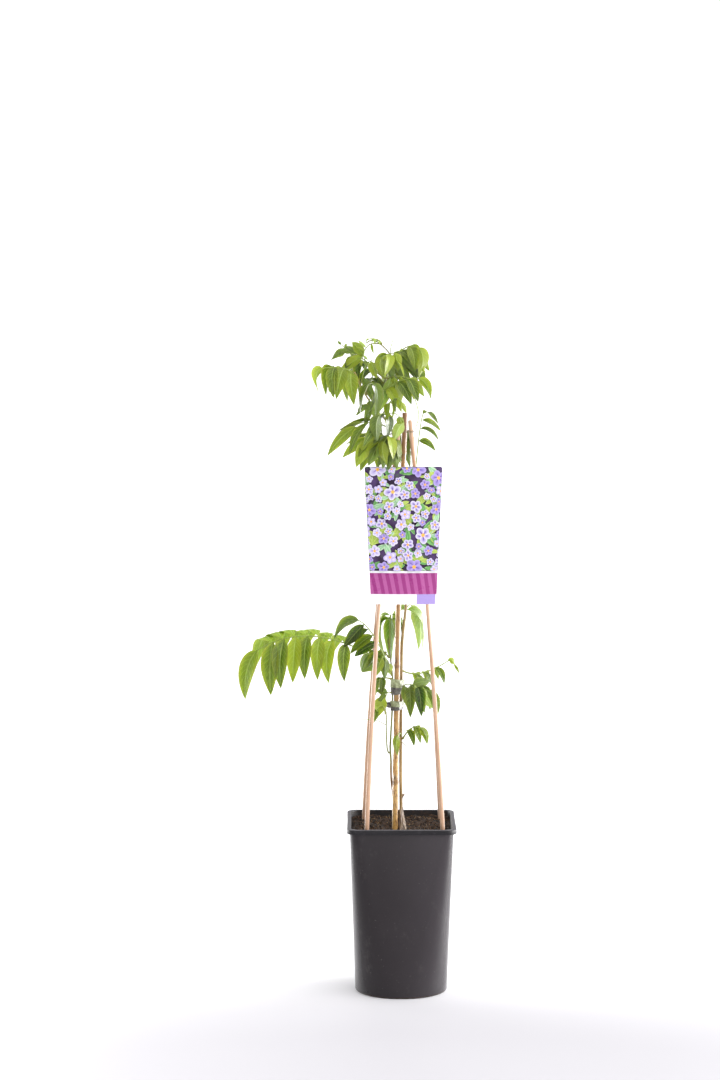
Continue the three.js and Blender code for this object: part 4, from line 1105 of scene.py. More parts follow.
def print_blossom(spot, size):
    """An open flower of five round petals with a dark line in each and a yellow eye."""
    start = print_random.uniform(0, math.tau)
    rim, heart, line = print_random.choice((
        (PRINTED_WHITE, PRINTED_LILAC, PRINTED_BLUE), (PRINTED_WHITE, PRINTED_BLUE, PRINTED_VIOLET),
        (PRINTED_LILAC, PRINTED_WHITE, PRINTED_BLUE), (PRINTED_LILAC, PRINTED_BLUE, PRINTED_VIOLET),
    ))
    for number in range(PETALS):
        angle = start + math.tau * number / PETALS + print_random.uniform(-0.15, 0.15)
        long = size * print_random.uniform(0.88, 1.12)
        print_blade(spot, angle, long, 0.84 * long, heart, rim, 0.1)
        print_blade(spot, angle, 0.62 * long, 0.15 * long, line, heart, 0.7)
    for number in range(PETALS):
        angle = start + math.tau * (number + 0.5) / PETALS
        print_blade(spot, angle, 0.24 * size, 0.2 * size, PRINTED_YELLOW, PRINTED_ORANGE, 0.2)


def print_leaf(spot, angle, length, width, light, dark):
    """A leaf of the picture, with a paler half along its midrib."""
    print_blade(spot, angle, length, width, dark, light, 1.1)
    print_blade(spot, angle + 0.05, 0.94 * length, 0.42 * width, light, dark, 1.1)


blossoms = []
for _ in range(BLOSSOM_TRIES):
    size = print_random.uniform(*BLOSSOM_SIZES)
    spot = Vector((
        LABEL_CENTRE + print_random.uniform(-0.5, 0.5) * LABEL_TOP_WIDTH,
        print_random.uniform(picture_low, LABEL_TOP),
    ))
    if all((spot - other).length > BLOSSOM_GAP * (size + near) for other, near in blossoms):
        blossoms.append((spot, size))
for spot, size in blossoms:
    for _ in range(3):
        greens = print_random.choice((LIME, LIME, MID_GREEN, PALE_GREEN))
        length = 2.2 * size * print_random.uniform(0.9, 1.2)
        print_leaf(spot, print_random.uniform(0, math.tau), length, 0.42 * length, *greens)
for spot, size in blossoms:
    print_blossom(spot, size)

for face in petals.faces:
    if face.normal.y > 0:
        face.normal_flip()
inked = Finish("printing_ink", Specular_IOR_Level=0.5, Coat_Weight=0.15, Coat_Roughness=0.2)
sheen = inked.grain(inked.place(), 60, 2.0)
inked.wear(inked.layer("ink", "Color"), inked.spread(sheen, 0.24, 0.34), sheen, 0.1, 0.3)
finish_piece("label_picture", petals, "label", inked.material)

# ------------------------------------------------------------------ the leaves
# Feathered leaves of thin soft leaflets in pairs with one more at the tip. Each leaflet is folded
# a little at its midrib, waved along its edge, glossy above and dull and paler beneath.
BLADE_ACROSS = 10
BLADE_ALONG = 20
BLADE_SKIN = 0.18
PETIOLE = 0.045
PETIOLE_HALF = 0.085
BLADE_FULL = 0.325
STALK_RADIUS = 1.15
STALK_TIP_RADIUS = 0.65
STALK_SWELL = 0.495
STALK_SWELL_REACH = 2.2
STALK_GROOVE = 0.1
STALK_SIDES = 10
LAST_PAIR = 0.96
LONE_PAIR = 0.3
PAIR_STAGGER = 0.008
END_SINK = 1.5
RIPPLE_TURNS = 9
RIPPLE = 0.012
FRILL_TURNS = 27
FRILL = 0.35
LEAN = 0.42
LENGTH_SPREAD = 0.16
HANG_SPREAD = 0.24
TURN_SPREAD = 0.5
WIDTH_SPREAD = 0.12
SICKLE = 0.09
LEAFLET_FOLD = (0.33, 0.3)
LEAFLET_TWIST = (0.25, 0.9)
HUMP_FOLD = 0.12
FAR_HANG = 0.72
FAR_CALM = 0.15
SHADED_SIDE = 0.38
SHADED_TIP = 0.45
STEM_EASE = 0.1
DRAW_SPAN = 2 ** 32
DOWN = Vector((0, 0, -1))
LEAFLET_VEINS = 9.0


def drawer(seed):
    """Repeatable draws from a seed, each within half a spread of a middle."""
    state = seed * 7919 + 17

    def vary(middle, spread):
        nonlocal state
        state = (state * 1664525 + 1013904223) % DRAW_SPAN
        return middle + spread * (state / DRAW_SPAN - 0.5)

    return vary


def arch(start, via, end, share):
    """The place on an arch and the way it runs there."""
    spot = start * (1 - share) ** 2 + via * (2 * share * (1 - share)) + end * share ** 2
    run = (via - start) * (1 - share) + (end - via) * share
    return spot, run.normalized()


def blade_share(u):
    """Half a leaflet's width at a share of its length: a little stalk, a round base, a drip tip."""
    grown = max(0, (u - PETIOLE) / (1 - PETIOLE))
    return max(PETIOLE_HALF * (1 - u), grown ** 0.7 * (1 - grown) ** 0.95 / BLADE_FULL)


def leaflet(bm, foot, lean, tip, across, width, fold, wave, phase, tone_and_shade, twist=0.0):
    """One leaflet: an upper and a lower sheet that meet along its edge."""
    tones = bm.loops.layers.float_color["tone_and_shade"]
    rows = []
    for row in range(BLADE_ALONG + 1):
        u = (row / BLADE_ALONG) ** 1.2
        spot, along = arch(foot, lean, tip, u)
        wide = (across - along * across.dot(along)).normalized()
        wide = Matrix.Rotation(twist * (u - 0.2), 3, along) @ wide
        rows.append((u, spot, wide, along.cross(wide), blade_share(u) * width / 2, blade_share(u)))
    for side in (-1, 1):
        sheet = bmesh.ops.create_grid(
            bm, x_segments=BLADE_ACROSS, y_segments=BLADE_ALONG, size=0.5, calc_uvs=True,
        )["verts"]
        for number, vert in enumerate(sheet):
            u, spot, wide, normal, half, share = rows[number // (BLADE_ACROSS + 1)]
            x = 2 * vert.co.x
            edge = abs(x)
            ripple = wave * share * math.sin(phase + u * RIPPLE_TURNS + x)
            frill = FRILL * wave * share * math.sin(2.3 * phase + u * FRILL_TURNS + 2 * x) * edge
            rise = edge * (fold * half + ripple + frill)
            skin = BLADE_SKIN * (1 - edge) if 0 < u < 1 else 0
            vert.co = spot + wide * (x * half) + normal * (rise + side * skin)
        faces = {face for vert in sheet for face in vert.link_faces}
        for face in faces:
            for loop in face.loops:
                loop[tones] = (tone_and_shade, 0.5 - 0.5 * side, 0, 1)
        if side == 1:
            bmesh.ops.reverse_faces(bm, faces=list(faces))


def leaf_finish(name, shade_color, lit, vein, under, gloss):
    """The finish of a leaf: its lit and shaded colours above, mixed by a tone that holds painted light
    and shade, its veins and its duller underside.
    """
    leaf = Finish(
        name, Specular_IOR_Level=0.36, Subsurface_Weight=0.3, Subsurface_Scale=0.0015,
        Subsurface_Radius=(0.7, 1.0, 0.2),
    )
    place = leaf.place()
    uv = leaf.add("UVMap", {}, uv_map="blade")
    u, v = leaf.split(uv)[:2]
    tone_and_shade, beneath = leaf.split(leaf.layer("tone_and_shade", "Color"))[:2]
    edge = leaf.sum("ABSOLUTE", leaf.sum("SUBTRACT", leaf.sum("MULTIPLY", u, 2.0), 1.0))
    slant = leaf.sum("MULTIPLY", leaf.sum("POWER", edge, 1.25), 1.9)
    phase = leaf.sum("SUBTRACT", leaf.sum("MULTIPLY", v, LEAFLET_VEINS), slant)
    across = leaf.sum("ABSOLUTE", leaf.sum("SUBTRACT", leaf.sum("FRACT", phase), 0.5))
    side_veins = leaf.step(across, 0.40, 0.485)
    side_veins = leaf.sum("MULTIPLY", side_veins, leaf.step(edge, 0.97, 0.7))
    midrib = leaf.step(edge, 0.13, 0.03)
    veins = leaf.sum("MAXIMUM", midrib, leaf.sum("MULTIPLY", side_veins, 0.6))
    cloud = leaf.grain(place, 110, 3.0)
    cells = {"Vector": leaf.stretched(uv, (14, 34, 1)), "Scale": 1.0}
    net = leaf.add("TexVoronoi", cells, "Distance", feature="DISTANCE_TO_EDGE")
    # The lit and shaded colours are mixed by the tone, which carries painted light and shade besides its
    # random part.
    share = leaf.sum("ADD", leaf.sum("MULTIPLY", tone_and_shade, 0.75), leaf.sum("MULTIPLY", cloud, 0.35))
    above = leaf.mix(leaf.step(share, 0.15, 0.95), shade_color, lit)
    above = leaf.mix(leaf.sum("MULTIPLY", veins, 0.45), above, vein)
    above = leaf.mix(leaf.step(edge, 0.86, 1.0, 0.0, 0.35), above, lit)
    shaded = leaf.step(share, 0.1, 0.45, 0.5, 0.0)
    below = leaf.mix(shaded, leaf.mix(cloud, under, lit), shade_color)
    below = leaf.mix(leaf.sum("MULTIPLY", veins, 0.5), below, vein)
    body = leaf.mix(beneath, above, below)
    quilt = leaf.step(net, 0.0, 0.35, 0.0, 0.3)
    quilt = leaf.sum("SUBTRACT", quilt, leaf.sum("MULTIPLY", veins, 0.9))
    flipped = leaf.sum("MULTIPLY", beneath, -2.0)
    relief = leaf.sum("MULTIPLY", quilt, leaf.sum("ADD", flipped, 1.0))
    duller = leaf.sum("MULTIPLY", beneath, 0.22)
    rough = leaf.sum("ADD", duller, leaf.spread(cloud, gloss, gloss + 0.1))
    return leaf.wear(body, rough, relief, 0.35, 0.8)


leaf_green = leaf_finish(
    "leaf_green", tint(70, 88, 8), tint(141, 157, 26), tint(172, 192, 96), tint(140, 156, 62), 0.38,
)
young_green = leaf_finish(
    "young_leaf_green", tint(112, 142, 46), tint(162, 186, 80), tint(206, 222, 148),
    tint(164, 188, 108), 0.42,
)
far_green = leaf_finish(
    "sunlit_leaf_green", tint(112, 138, 28), tint(152, 178, 50), tint(206, 222, 130),
    tint(168, 190, 84), 0.42,
)
# a darker copy of the leaf green for leaves deep in the crown and the thicket: painted shade
shaded_leaf_green = leaf_finish(
    "leaf_green_painted_shade", tint(42, 58, 6), tint(88, 104, 16), tint(142, 160, 84), tint(114, 134, 72), 0.36,
)

stalk_green = Finish("leaf_stalk_green", Specular_IOR_Level=0.4)
along = stalk_green.layer("straight")
lines = stalk_green.grain(along, (900, 900, 30), 4.0)
flush = stalk_green.step(stalk_green.split(along)[2], 0.0, 0.02, 1.0, 0.0)
body = stalk_green.mix(lines, tint(116, 138, 50), tint(158, 176, 80))
body = stalk_green.mix(stalk_green.sum("MULTIPLY", flush, 0.6), body, tint(132, 112, 58))
stalk_green.wear(body, stalk_green.spread(lines, 0.42, 0.58), lines, 0.15)


def leaf_stalk(stalk, sides, steps, radius, finish, seam=Vector((0, 1, 0))):
    """A mesh ready for leaflets, with their stalk in it. `finish` numbers the stalk's material."""
    bm = bmesh.new()
    bm.loops.layers.uv.new("blade")
    bm.loops.layers.float_color.new("tone_and_shade")
    rod(bm, stalk, sides, steps, radius, seam)
    close_up(bm)
    for face in bm.faces:
        face.material_index = finish
    return bm


def grow_leaf(name, stem, height, via, tip, face=(0, -0.4, 0.9), pairs=0, leaf=(26, 26), slim=0.34,
              droop=1.1, end_droop=None, sweep=0.6, bare=0.3, sides=(-1, 1), seed=1, hump=0.0,
              scatter=0.0, light=0.0, finish=leaf_green, slot="leaf"):
    """A leaf: a stalk that leaves its stem, arches through `via` to `tip` and carries leaflets.

    `leaf` holds the lengths of the first and last leaflets and `slim` their width as a share of it.
    """
    via = Vector(via)
    tip = Vector(tip)
    face = Vector(face).normalized()
    bend = stem_bends[stem]
    share = bend.share_at_height(height)
    spot, run = bend.at(share)
    toward = (via - spot).normalized()
    lift = toward.dot(run)
    away = (toward - run * lift).normalized()
    foot = spot + away * (stem_thickness(stem, share) + TOUCH + STEM_EASE + STALK_RADIUS * abs(lift))

    stalk = Bend([spot, *(arch(foot, via, tip, step / 12)[0] for step in range(13))])
    swell_at = (foot - spot).length / stalk.reach[-1]

    def stalk_radius(share, turn):
        from_foot = (share - swell_at) * stalk.reach[-1] / STALK_SWELL_REACH
        grooved = 0.92 + STALK_GROOVE * math.cos(turn)
        slender = blend(STALK_RADIUS, STALK_TIP_RADIUS, share) * grooved
        return slender + STALK_SWELL * math.exp(-from_foot ** 2)

    seam = (via - foot).cross(tip - via)
    seam = seam.normalized() if seam.length > 1 else Vector((0, 0, 1))
    bm = leaf_stalk(stalk, STALK_SIDES, 14 + int(stalk.reach[-1] / 3), stalk_radius, 1, seam)
    vary = drawer(seed)
    tint_random = random.Random(seed)

    def grow(t, side):
        last = side == 0
        far = hump > 0 and side == 1
        calm = FAR_CALM if far else 1
        length = blend(*leaf, t) * vary(1, LENGTH_SPREAD)
        hang = end_droop if last and end_droop is not None else droop
        hang *= vary(1, HANG_SPREAD) * (FAR_HANG if far else 1)
        turn = vary(0, TURN_SPREAD) * calm
        spot, slope = arch(foot, via, tip, t)
        sideways = slope.cross(face).normalized()
        out = slope.copy()
        if not last:
            out = (sideways * (side * math.cos(sweep)) + slope * math.sin(sweep)).normalized()
        base = spot - slope * (END_SINK if last else 0)
        reach = (out * math.cos(hang) + DOWN * math.sin(hang)).normalized() * length
        across = out.cross(DOWN) * 0.6 + (sideways * 0.6 if last else slope * (side * 0.5))
        across = (across + out.cross(across) * turn).normalized()
        width = length * slim * vary(1, WIDTH_SPREAD)
        fold = vary(*LEAFLET_FOLD)
        phase = vary(3, 6)
        # The tone is random, then shifted by painted light and shade: near-side leaflets lighter,
        # far-side ones and the tip darker, and `light` lifts or lowers a whole leaf; on humped leaves
        # only the tip is darkened.
        tone_and_shade = blend(0.4, tint_random.random(), 0.6 if hump else 1.3)
        if hump:
            tone_and_shade -= SHADED_TIP if last else 0
        else:
            tone_and_shade += light - SHADED_SIDE * (side + 0.45)
        sickle = across * (tint_random.uniform(-SICKLE, SICKLE) * length * calm)
        lean = base + out * (LEAN * length) + sickle
        plain, loose = LEAFLET_TWIST
        twist = tint_random.uniform(-1, 1) * (plain + loose * scatter) * calm
        if far:
            lean.z += hump * length
            fold = -HUMP_FOLD
        stray = Matrix.Rotation(tint_random.uniform(-scatter, scatter), 3, "Y")
        before = set(bm.faces)
        wave = length * RIPPLE * calm
        leaflet(bm, base, lean, base + stray @ reach, across, width, fold, wave, phase, tone_and_shade, twist)
        if far:
            for blade_face in set(bm.faces) - before:
                blade_face.material_index = 2

    for number in range(pairs):
        t = blend(bare, LAST_PAIR, LONE_PAIR if pairs == 1 else number / pairs)
        for side in sides:
            grow(t + side * PAIR_STAGGER, side)
    grow(1, 0)
    bmesh.ops.remove_doubles(bm, verts=bm.verts, dist=SEAM)
    finish_piece(
        name + "_leaf", bm, slot, finish, stalk_green.material, far_green, replaces=["frond_" + name],
    )


# fronds in the darker copy of the green, as painted shade inside the plant
SHADED_FROND = {"finish": shaded_leaf_green, "slot": "dark_leaf"}
YOUNG = {"finish": young_green, "slot": "young_leaf"}

# the middle of the plant, where the stems are tied
grow_leaf("long", "green_stem", 413, (-112, -40, 483), (-180, -26, 437), face=(0, -0.6, 0.8), pairs=7,
          leaf=(42, 70), slim=0.33, droop=1.25, end_droop=1.35, sweep=0.35, seed=57, hump=0.2)
grow_leaf("dark", "green_stem", 403, (-34, -27, 466), (-54, -22, 474), face=(0, -1, 0.2), sides=(-1,),
          pairs=5, leaf=(30, 44), slim=0.4, droop=0.5, end_droop=0.6, sweep=0.2, bare=0.28, seed=12,
          scatter=0.3, **SHADED_FROND)
grow_leaf("middle_left", "green_stem", 424, (-25, 5, 437), (-41, 7, 427), pairs=2, leaf=(24, 26),
          slim=0.46, droop=1.0, seed=38, **SHADED_FROND)
grow_leaf("young", "woody_stem", 450, (5, 20, 495), (13, 24, 487), pairs=1, leaf=(48, 60), slim=0.32,
          droop=1.3, seed=3, **YOUNG)
grow_leaf("pale_left", "green_stem", 436, (-14, 10, 486), (-13, 18, 474), pairs=2, leaf=(34, 58),
          slim=0.3, droop=1.35, sweep=0.2, bare=0.5, seed=31, **YOUNG)
grow_leaf("right_upper", "woody_stem", 407, (24, 14, 394), (60, 16, 418), pairs=3, leaf=(26, 24),
          slim=0.38, droop=0.9, seed=4)
grow_leaf("right_tie", "woody_stem", 380, (14, -20, 397), (32, -20, 385), pairs=2, leaf=(38, 36),
          slim=0.36, droop=1.0, seed=40, **SHADED_FROND)
grow_leaf("right_low", "woody_stem", 322, (12, -12, 342), (24, -10, 336), pairs=2, leaf=(20, 26),
          slim=0.38, droop=0.9, seed=6)
grow_leaf("stake_leaf", "woody_stem", 326, (-1, -13, 333), (-5, -17, 328), slim=0.38, end_droop=1.4,
          seed=7)
grow_leaf("left_tie", "green_stem", 398, (-24, -10, 402), (-30, -11, 396), pairs=1, leaf=(20, 22),
          slim=0.4, droop=1.2, seed=8, **SHADED_FROND)
grow_leaf("side_shoot", "side_shoot", 356, (-22, -20, 365), (-24, -20, 366), leaf=(23, 23), slim=0.66,
          end_droop=1.15, seed=9)
# the crown
grow_leaf("crown_left", "woody_stem", 777, (-70, -18, 794), (-99, -22, 788), pairs=3, leaf=(40, 36),
          slim=0.42, droop=1.25, sweep=0.5, bare=0.2, seed=10, scatter=0.2, light=-0.35)
grow_leaf("crown_top", "crown_shoot", 769, (-46, 14, 797), (-70, 15, 808), pairs=3, leaf=(26, 24),
          slim=0.5, droop=0.8, seed=67, scatter=0.4, **SHADED_FROND)
grow_leaf("crown_centre", "crown_shoot", 786, (-11, -23, 812), (-25, -28, 802), pairs=2, leaf=(29, 28),
          slim=0.46, droop=1.15, seed=33, scatter=0.35)
grow_leaf("crown_bud", "crown_shoot", 817, (-28, -8, 826), (-42, -10, 824), pairs=2, leaf=(8, 7),
          slim=0.45, droop=0.9, seed=12, **YOUNG)
grow_leaf("crown_right", "crown_shoot", 795, (4, 6, 822), (20, 0, 812), pairs=2, leaf=(26, 36),
          slim=0.44, droop=1.0, seed=13, scatter=0.35, light=0.6)
grow_leaf("crown_low_right", "woody_stem", 745, (-6, -17, 780), (21, -17, 775), pairs=3, leaf=(32, 32),
          slim=0.44, droop=1.15, seed=48, scatter=0.5, light=0.2)
grow_leaf("crown_mid_right", "crown_shoot", 772, (0, 10, 796), (17, 10, 790), pairs=2, leaf=(30, 30),
          slim=0.46, droop=0.9, seed=67, scatter=0.4, **SHADED_FROND)
grow_leaf("crown_front", "woody_stem", 729, (-10, -43, 763), (0, -47, 747), pairs=2, leaf=(26, 14),
          slim=0.42, droop=1.3, seed=55, scatter=0.3, slot="young_leaf")
grow_leaf("crown_hanging", "woody_stem", 756, (-41, -23, 774), (-35, -33, 769), pairs=1, leaf=(42, 42),
          slim=0.32, droop=1.45, seed=57, scatter=0.45, **SHADED_FROND)
grow_leaf("crown_back", "woody_stem", 755, (-41, 2, 777), (-33, 4, 775), pairs=2, leaf=(30, 32),
          slim=0.4, droop=1.0, seed=17, scatter=0.55, **SHADED_FROND)
grow_leaf("crown_single", "woody_stem", 742, (-44, -17, 745), (-48, -20, 743), leaf=(18, 18), slim=0.28,
          end_droop=0.7, seed=18, **SHADED_FROND)
grow_leaf("crown_rear_left", "woody_stem", 771, (-64, 34, 798), (-82, 64, 778), pairs=3, bare=0.42,
          leaf=(34, 36), slim=0.4, seed=19)
grow_leaf("crown_rear_right", "crown_shoot", 781, (-8, 34, 800), (0, 62, 784), pairs=3, leaf=(30, 32),
          slim=0.4, seed=20)
# below the crown, above the label
grow_leaf("low_left", "woody_stem", 712, (-34, -22, 729), (-56, -20, 715), pairs=2, leaf=(52, 56),
          slim=0.27, droop=0.6, end_droop=0.3, sweep=1.0, seed=76, light=-0.5)
grow_leaf("low_front", "woody_stem", 708, (-19, -30, 741), (-28, -40, 731), pairs=1, leaf=(29, 31),
          slim=0.5, droop=1.45, seed=14, **SHADED_FROND)
grow_leaf("lower_left", "woody_stem", 700, (-28, -8, 708), (-42, -10, 701), pairs=2, leaf=(38, 42),
          slim=0.3, droop=0.45, end_droop=0.2, sweep=1.0, seed=23)
grow_leaf("lowest_front", "woody_stem", 690, (-15, -35, 713), (-22, -33, 698), pairs=2, leaf=(30, 30),
          slim=0.52, droop=1.3, seed=4, scatter=0.3)
grow_leaf("lowest_right", "woody_stem", 678, (0, -13, 697), (-27, -10, 695), pairs=2, leaf=(22, 25),
          slim=0.46, seed=71, scatter=0.35, **SHADED_FROND)
grow_leaf("lowest_left", "woody_stem", 682, (-24, 8, 694), (-38, 8, 684), pairs=1, leaf=(28, 32),
          slim=0.36, droop=0.9, seed=25, scatter=0.3)
grow_leaf("stake_right", "woody_stem", 640, (3, 30, 691), (7, 25, 707), face=(0, -1, 0), pairs=1,
          leaf=(30, 30), slim=0.4, droop=1.4, bare=0.7, seed=26, **SHADED_FROND)
grow_leaf("right_shoot", "woody_stem", 560, (20, 14, 712), (27, 8, 731), face=(0, -1, 0), sides=(1,),
          pairs=3, leaf=(25, 27), slim=0.38, droop=0.6, end_droop=0.75, sweep=0.2, bare=0.6, seed=27)
# behind the label
grow_leaf("rear_right", "woody_stem", 600, (22, 50, 640), (30, 88, 612), pairs=4, leaf=(38, 44),
          slim=0.36, seed=28)
grow_leaf("rear_left", "woody_stem", 630, (-24, 50, 672), (-30, 84, 646), pairs=3, leaf=(38, 44),
          slim=0.4, seed=29, **SHADED_FROND)
grow_leaf("rear_low", "woody_stem", 530, (6, 50, 574), (10, 88, 556), pairs=3, leaf=(34, 40), slim=0.4,
          seed=30)

# smaller leaves that fill the crown, and the ones round the ties
SPRAY_STALK = 0.7
# a spray blade's finish: leaf green, young green, the darker copy as painted shade, or the stalk
LIT, PALE, SHADED_BLADE, STALK = range(4)


def from_stem(stem, height, path):
    """A line that starts inside a stem, at a height of it."""
    return Bend([stem_bends[stem].at(stem_bends[stem].share_at_height(height))[0], *path])


def grow_spray(name, stem, height, path, blades, seed):
    """A small leaf with its leaflets laid one by one.

    Each has its share of the stalk, its tip, its width and the number of its finish.
    """
    stalk = from_stem(stem, height, path)
    bm = leaf_stalk(stalk, 8, 30, lambda share, turn: SPRAY_STALK * blend(1.2, 0.7, share), STALK)
    chance = random.Random(seed)
    for share, tip, width, shade in blades:
        foot = stalk.at(share)[0]
        reach = Vector(tip) - foot
        facing = Vector((chance.uniform(-0.45, 0.45), -1, chance.uniform(0.0, 0.6)))
        across = reach.cross(facing).normalized()
        bulge = Vector((0, -0.1, 0.16)) + across * chance.uniform(-0.12, 0.12)
        lean = foot + reach * LEAN + bulge * reach.length
        before = set(bm.faces)
        leaflet(
            bm, foot, lean, foot + reach, across, width, chance.uniform(0.15, 0.5), reach.length * RIPPLE,
            chance.uniform(0, 6), chance.random(), chance.uniform(-0.3, 0.3),
        )
        for face in set(bm.faces) - before:
            face.material_index = shade
    bmesh.ops.remove_doubles(bm, verts=bm.verts, dist=SEAM)
    finish_piece(name, bm, "leaf", leaf_green, young_green, shaded_leaf_green, stalk_green.material)


grow_spray("crown_upper_left", "crown_shoot", 774, [(-44, 2, 792), (-47, 4, 802), (-62, 6, 806)], [
    (0.72, (-62, 0, 820), 13, LIT), (0.75, (-80, 8, 779), 13, LIT), (1, (-77, 6, 810), 8, SHADED_BLADE),
    (0.9, (-71, 8, 814), 8, SHADED_BLADE),
], 3)
grow_spray("crown_heart", "woody_stem", 766, [(-45, -8, 791), (-37, -12, 798)], [
    (0.95, (-31, -16, 775), 11, LIT), (0.3, (-30, -6, 739), 11, SHADED_BLADE),
], 5)
grow_spray("crown_middle", "crown_shoot", 790, [(-17, -6, 803), (-9, -10, 807)], [
    (0.8, (-24, -16, 783), 17, LIT), (1, (-4, -12, 785), 14, LIT), (0.6, (-12, -2, 768), 12, SHADED_BLADE),
], 7)
grow_spray("crown_far_right", "crown_shoot", 786, [(-5, 4, 802), (14, 4, 810)], [
    (0.75, (28, -4, 783), 21, LIT), (1, (35, 6, 783), 12, LIT), (0.55, (23, 2, 774), 17, SHADED_BLADE),
    (0.4, (13, -2, 762), 14, SHADED_BLADE), (0.25, (2, 8, 765), 12, SHADED_BLADE),
], 9)
grow_spray("crown_under_right", "crown_shoot", 774, [(-5, -8, 778), (15, -6, 774)], [
    (0.55, (12, -12, 743), 10, LIT), (1, (28, -6, 752), 10, LIT), (0.35, (0, -14, 733), 15, LIT),
    (0.2, (-31, -18, 731), 15, PALE),
], 11)
grow_spray("crown_stem_leaves", "woody_stem", 742, [(-37, -14, 756), (-42, -16, 744)], [
    (0.3, (-30, -20, 722), 14, PALE), (1, (-58, -14, 729), 6, SHADED_BLADE), (0.8, (-47, -16, 713), 10, SHADED_BLADE),
], 13)
grow_spray("stake_top_leaves", "woody_stem", 722, [(-22, -18, 731), (-8, -20, 732), (3, -20, 721)], [
    (0.78, (1, -20, 715), 10, LIT), (1, (-10, -24, 698), 14, PALE), (0.5, (-17, -16, 709), 10, LIT),
], 15)
grow_spray("thicket_left", "woody_stem", 706, [(-22, -16, 704), (-35, -22, 700)], [
    (1, (-57, -30, 666), 20, LIT), (0.8, (-45, -28, 676), 17, SHADED_BLADE), (0.6, (-42, -34, 668), 19, SHADED_BLADE),
    (0.3, (-22, -30, 675), 20, LIT), (0.45, (-24, -32, 664), 18, SHADED_BLADE),
], 17)
grow_spray("thicket_right", "woody_stem", 700, [(-17, -14, 699), (-11, -20, 692)], [
    (1, (-6, -26, 664), 16, SHADED_BLADE), (0.8, (-17, -28, 662), 17, SHADED_BLADE), (0.5, (-30, -24, 666), 17, SHADED_BLADE),
    (0.6, (0, -14, 672), 11, SHADED_BLADE),
], 19)
grow_spray("behind_the_stake", "woody_stem", 690, [(-7, 14, 702), (3, 16, 697)], [
    (1, (9, 16, 677), 11, SHADED_BLADE), (0.8, (11, 18, 661), 11, SHADED_BLADE), (0.5, (2, 20, 659), 12, SHADED_BLADE),
], 21)
grow_spray("left_of_the_ties", "green_stem", 410, [(-22, -14, 428), (-26, -18, 420)], [
    (1, (-49, -20, 408), 15, SHADED_BLADE), (0.8, (-34, -20, 401), 12, LIT), (0.6, (-21, -16, 398), 12, SHADED_BLADE),
    (0.3, (-14, -10, 404), 11, PALE),
], 23)
grow_spray("under_the_ties", "green_stem", 380, [(-17, -14, 382), (-20, -16, 376)], [
    (1, (-34, -18, 347), 17, LIT), (0.6, (-31, -16, 384), 10, SHADED_BLADE), (0.8, (-29, -18, 368), 8, SHADED_BLADE),
], 25)
grow_spray("right_of_the_ties", "woody_stem", 386, [(6, -14, 392), (16, -18, 392)], [
    (1, (40, -18, 362), 17, PALE), (0.8, (29, -22, 357), 17, SHADED_BLADE), (0.4, (13, -18, 356), 13, SHADED_BLADE),
    (0.9, (36, -12, 396), 16, SHADED_BLADE),
], 27)
grow_spray("crown_tip_buds", "crown_shoot", 818, [(-40, -1, 817), (-47, 0, 808), (-49, 1, 798)], [
    (0.3, (-35, -2, 805), 3.6, LIT), (0.55, (-55, -1, 822), 3.4, PALE), (0.7, (-58, 0, 814), 3.0, LIT),
    (0.85, (-42, -1, 797), 3.2, PALE), (1, (-52, 0, 790), 4.0, LIT),
], 29)
grow_spray("crown_side_buds", "crown_shoot", 774, [(-46, 10, 797), (-64, 12, 807), (-75, 10, 816)], [
    (0.8, (-78, 10, 806), 4.0, SHADED_BLADE), (0.92, (-69, 8, 818), 3.4, LIT), (1, (-80, 10, 821), 3.6, SHADED_BLADE),
], 31)

# thin shoots without leaves
TENDRILS = {
    "crown_tendril": (
        "crown_shoot", 776, [(1, -5, 768), (13, -8, 757), (21, -8, 731), (17, -6, 712)], 0.75,
    ),
    "straight_tendril": ("crown_shoot", 800, [(-14, 0, 811), (-12, 0, 819), (-10, 0, 826)], 0.6),
    "left_tendril": ("side_shoot", 340, [(-32, -12, 346), (-50, -12, 347), (-67, -12, 342)], 0.45),
    "right_tendril": ("woody_stem", 372, [(20, -4, 376), (45, 0, 374), (61, 0, 362)], 0.45),
    "low_twig": ("woody_stem", 318, [(4, -10, 315), (8, -12, 311)], 0.5),
}
for name, (stem, height, path, thickness) in TENDRILS.items():
    tendril = bmesh.new()
    bend = from_stem(stem, height, path)
    rod(tendril, bend, 8, 40, lambda share, turn: thickness * blend(1, 0.6, share))
    close_up(tendril)
    finish_piece(name, tendril, "leaf", stalk_green.material)

# ------------------------------------------------------------------ floor, light and camera
# A wide pale floor in a white room, with a broad soft lamp at the front right. The two strip
# lamps beside the plant only add gloss. The camera has a long lens and looks down a little.
FLOOR_REACH = 60.0
ROOM_AXIS = (0.4, 0.8, 0.3)
ROOM_TURN = (-0.75, 0.2)
ROOM_LIGHT = (0.3, 1.15)
KEY_WAY = (0.85, -0.55, 0.9)
KEY_POWER = 2.5
FLOOR_CENTRE = (0, -0.45, 0)
FLOOR_GLOW = 0.4
FLOOR_STRETCH = (0.45, 1, 1)
STRIPS = {"left": ((-0.95, 0.75, 0.35), 42), "right": ((1.15, 0.2, 0.35), 75)}
STRIP_SIZE = (0.7, 0.65)
STRIP_AIM = (0, 0, 0.15)
KEY_SOFTNESS = 85
CAMERA_PLACE = (-0.052, -3.8, 0.9723)
CAMERA_PITCH = 6.006
CAMERA_LENS = 101.76
CAMERA_FILM = 36

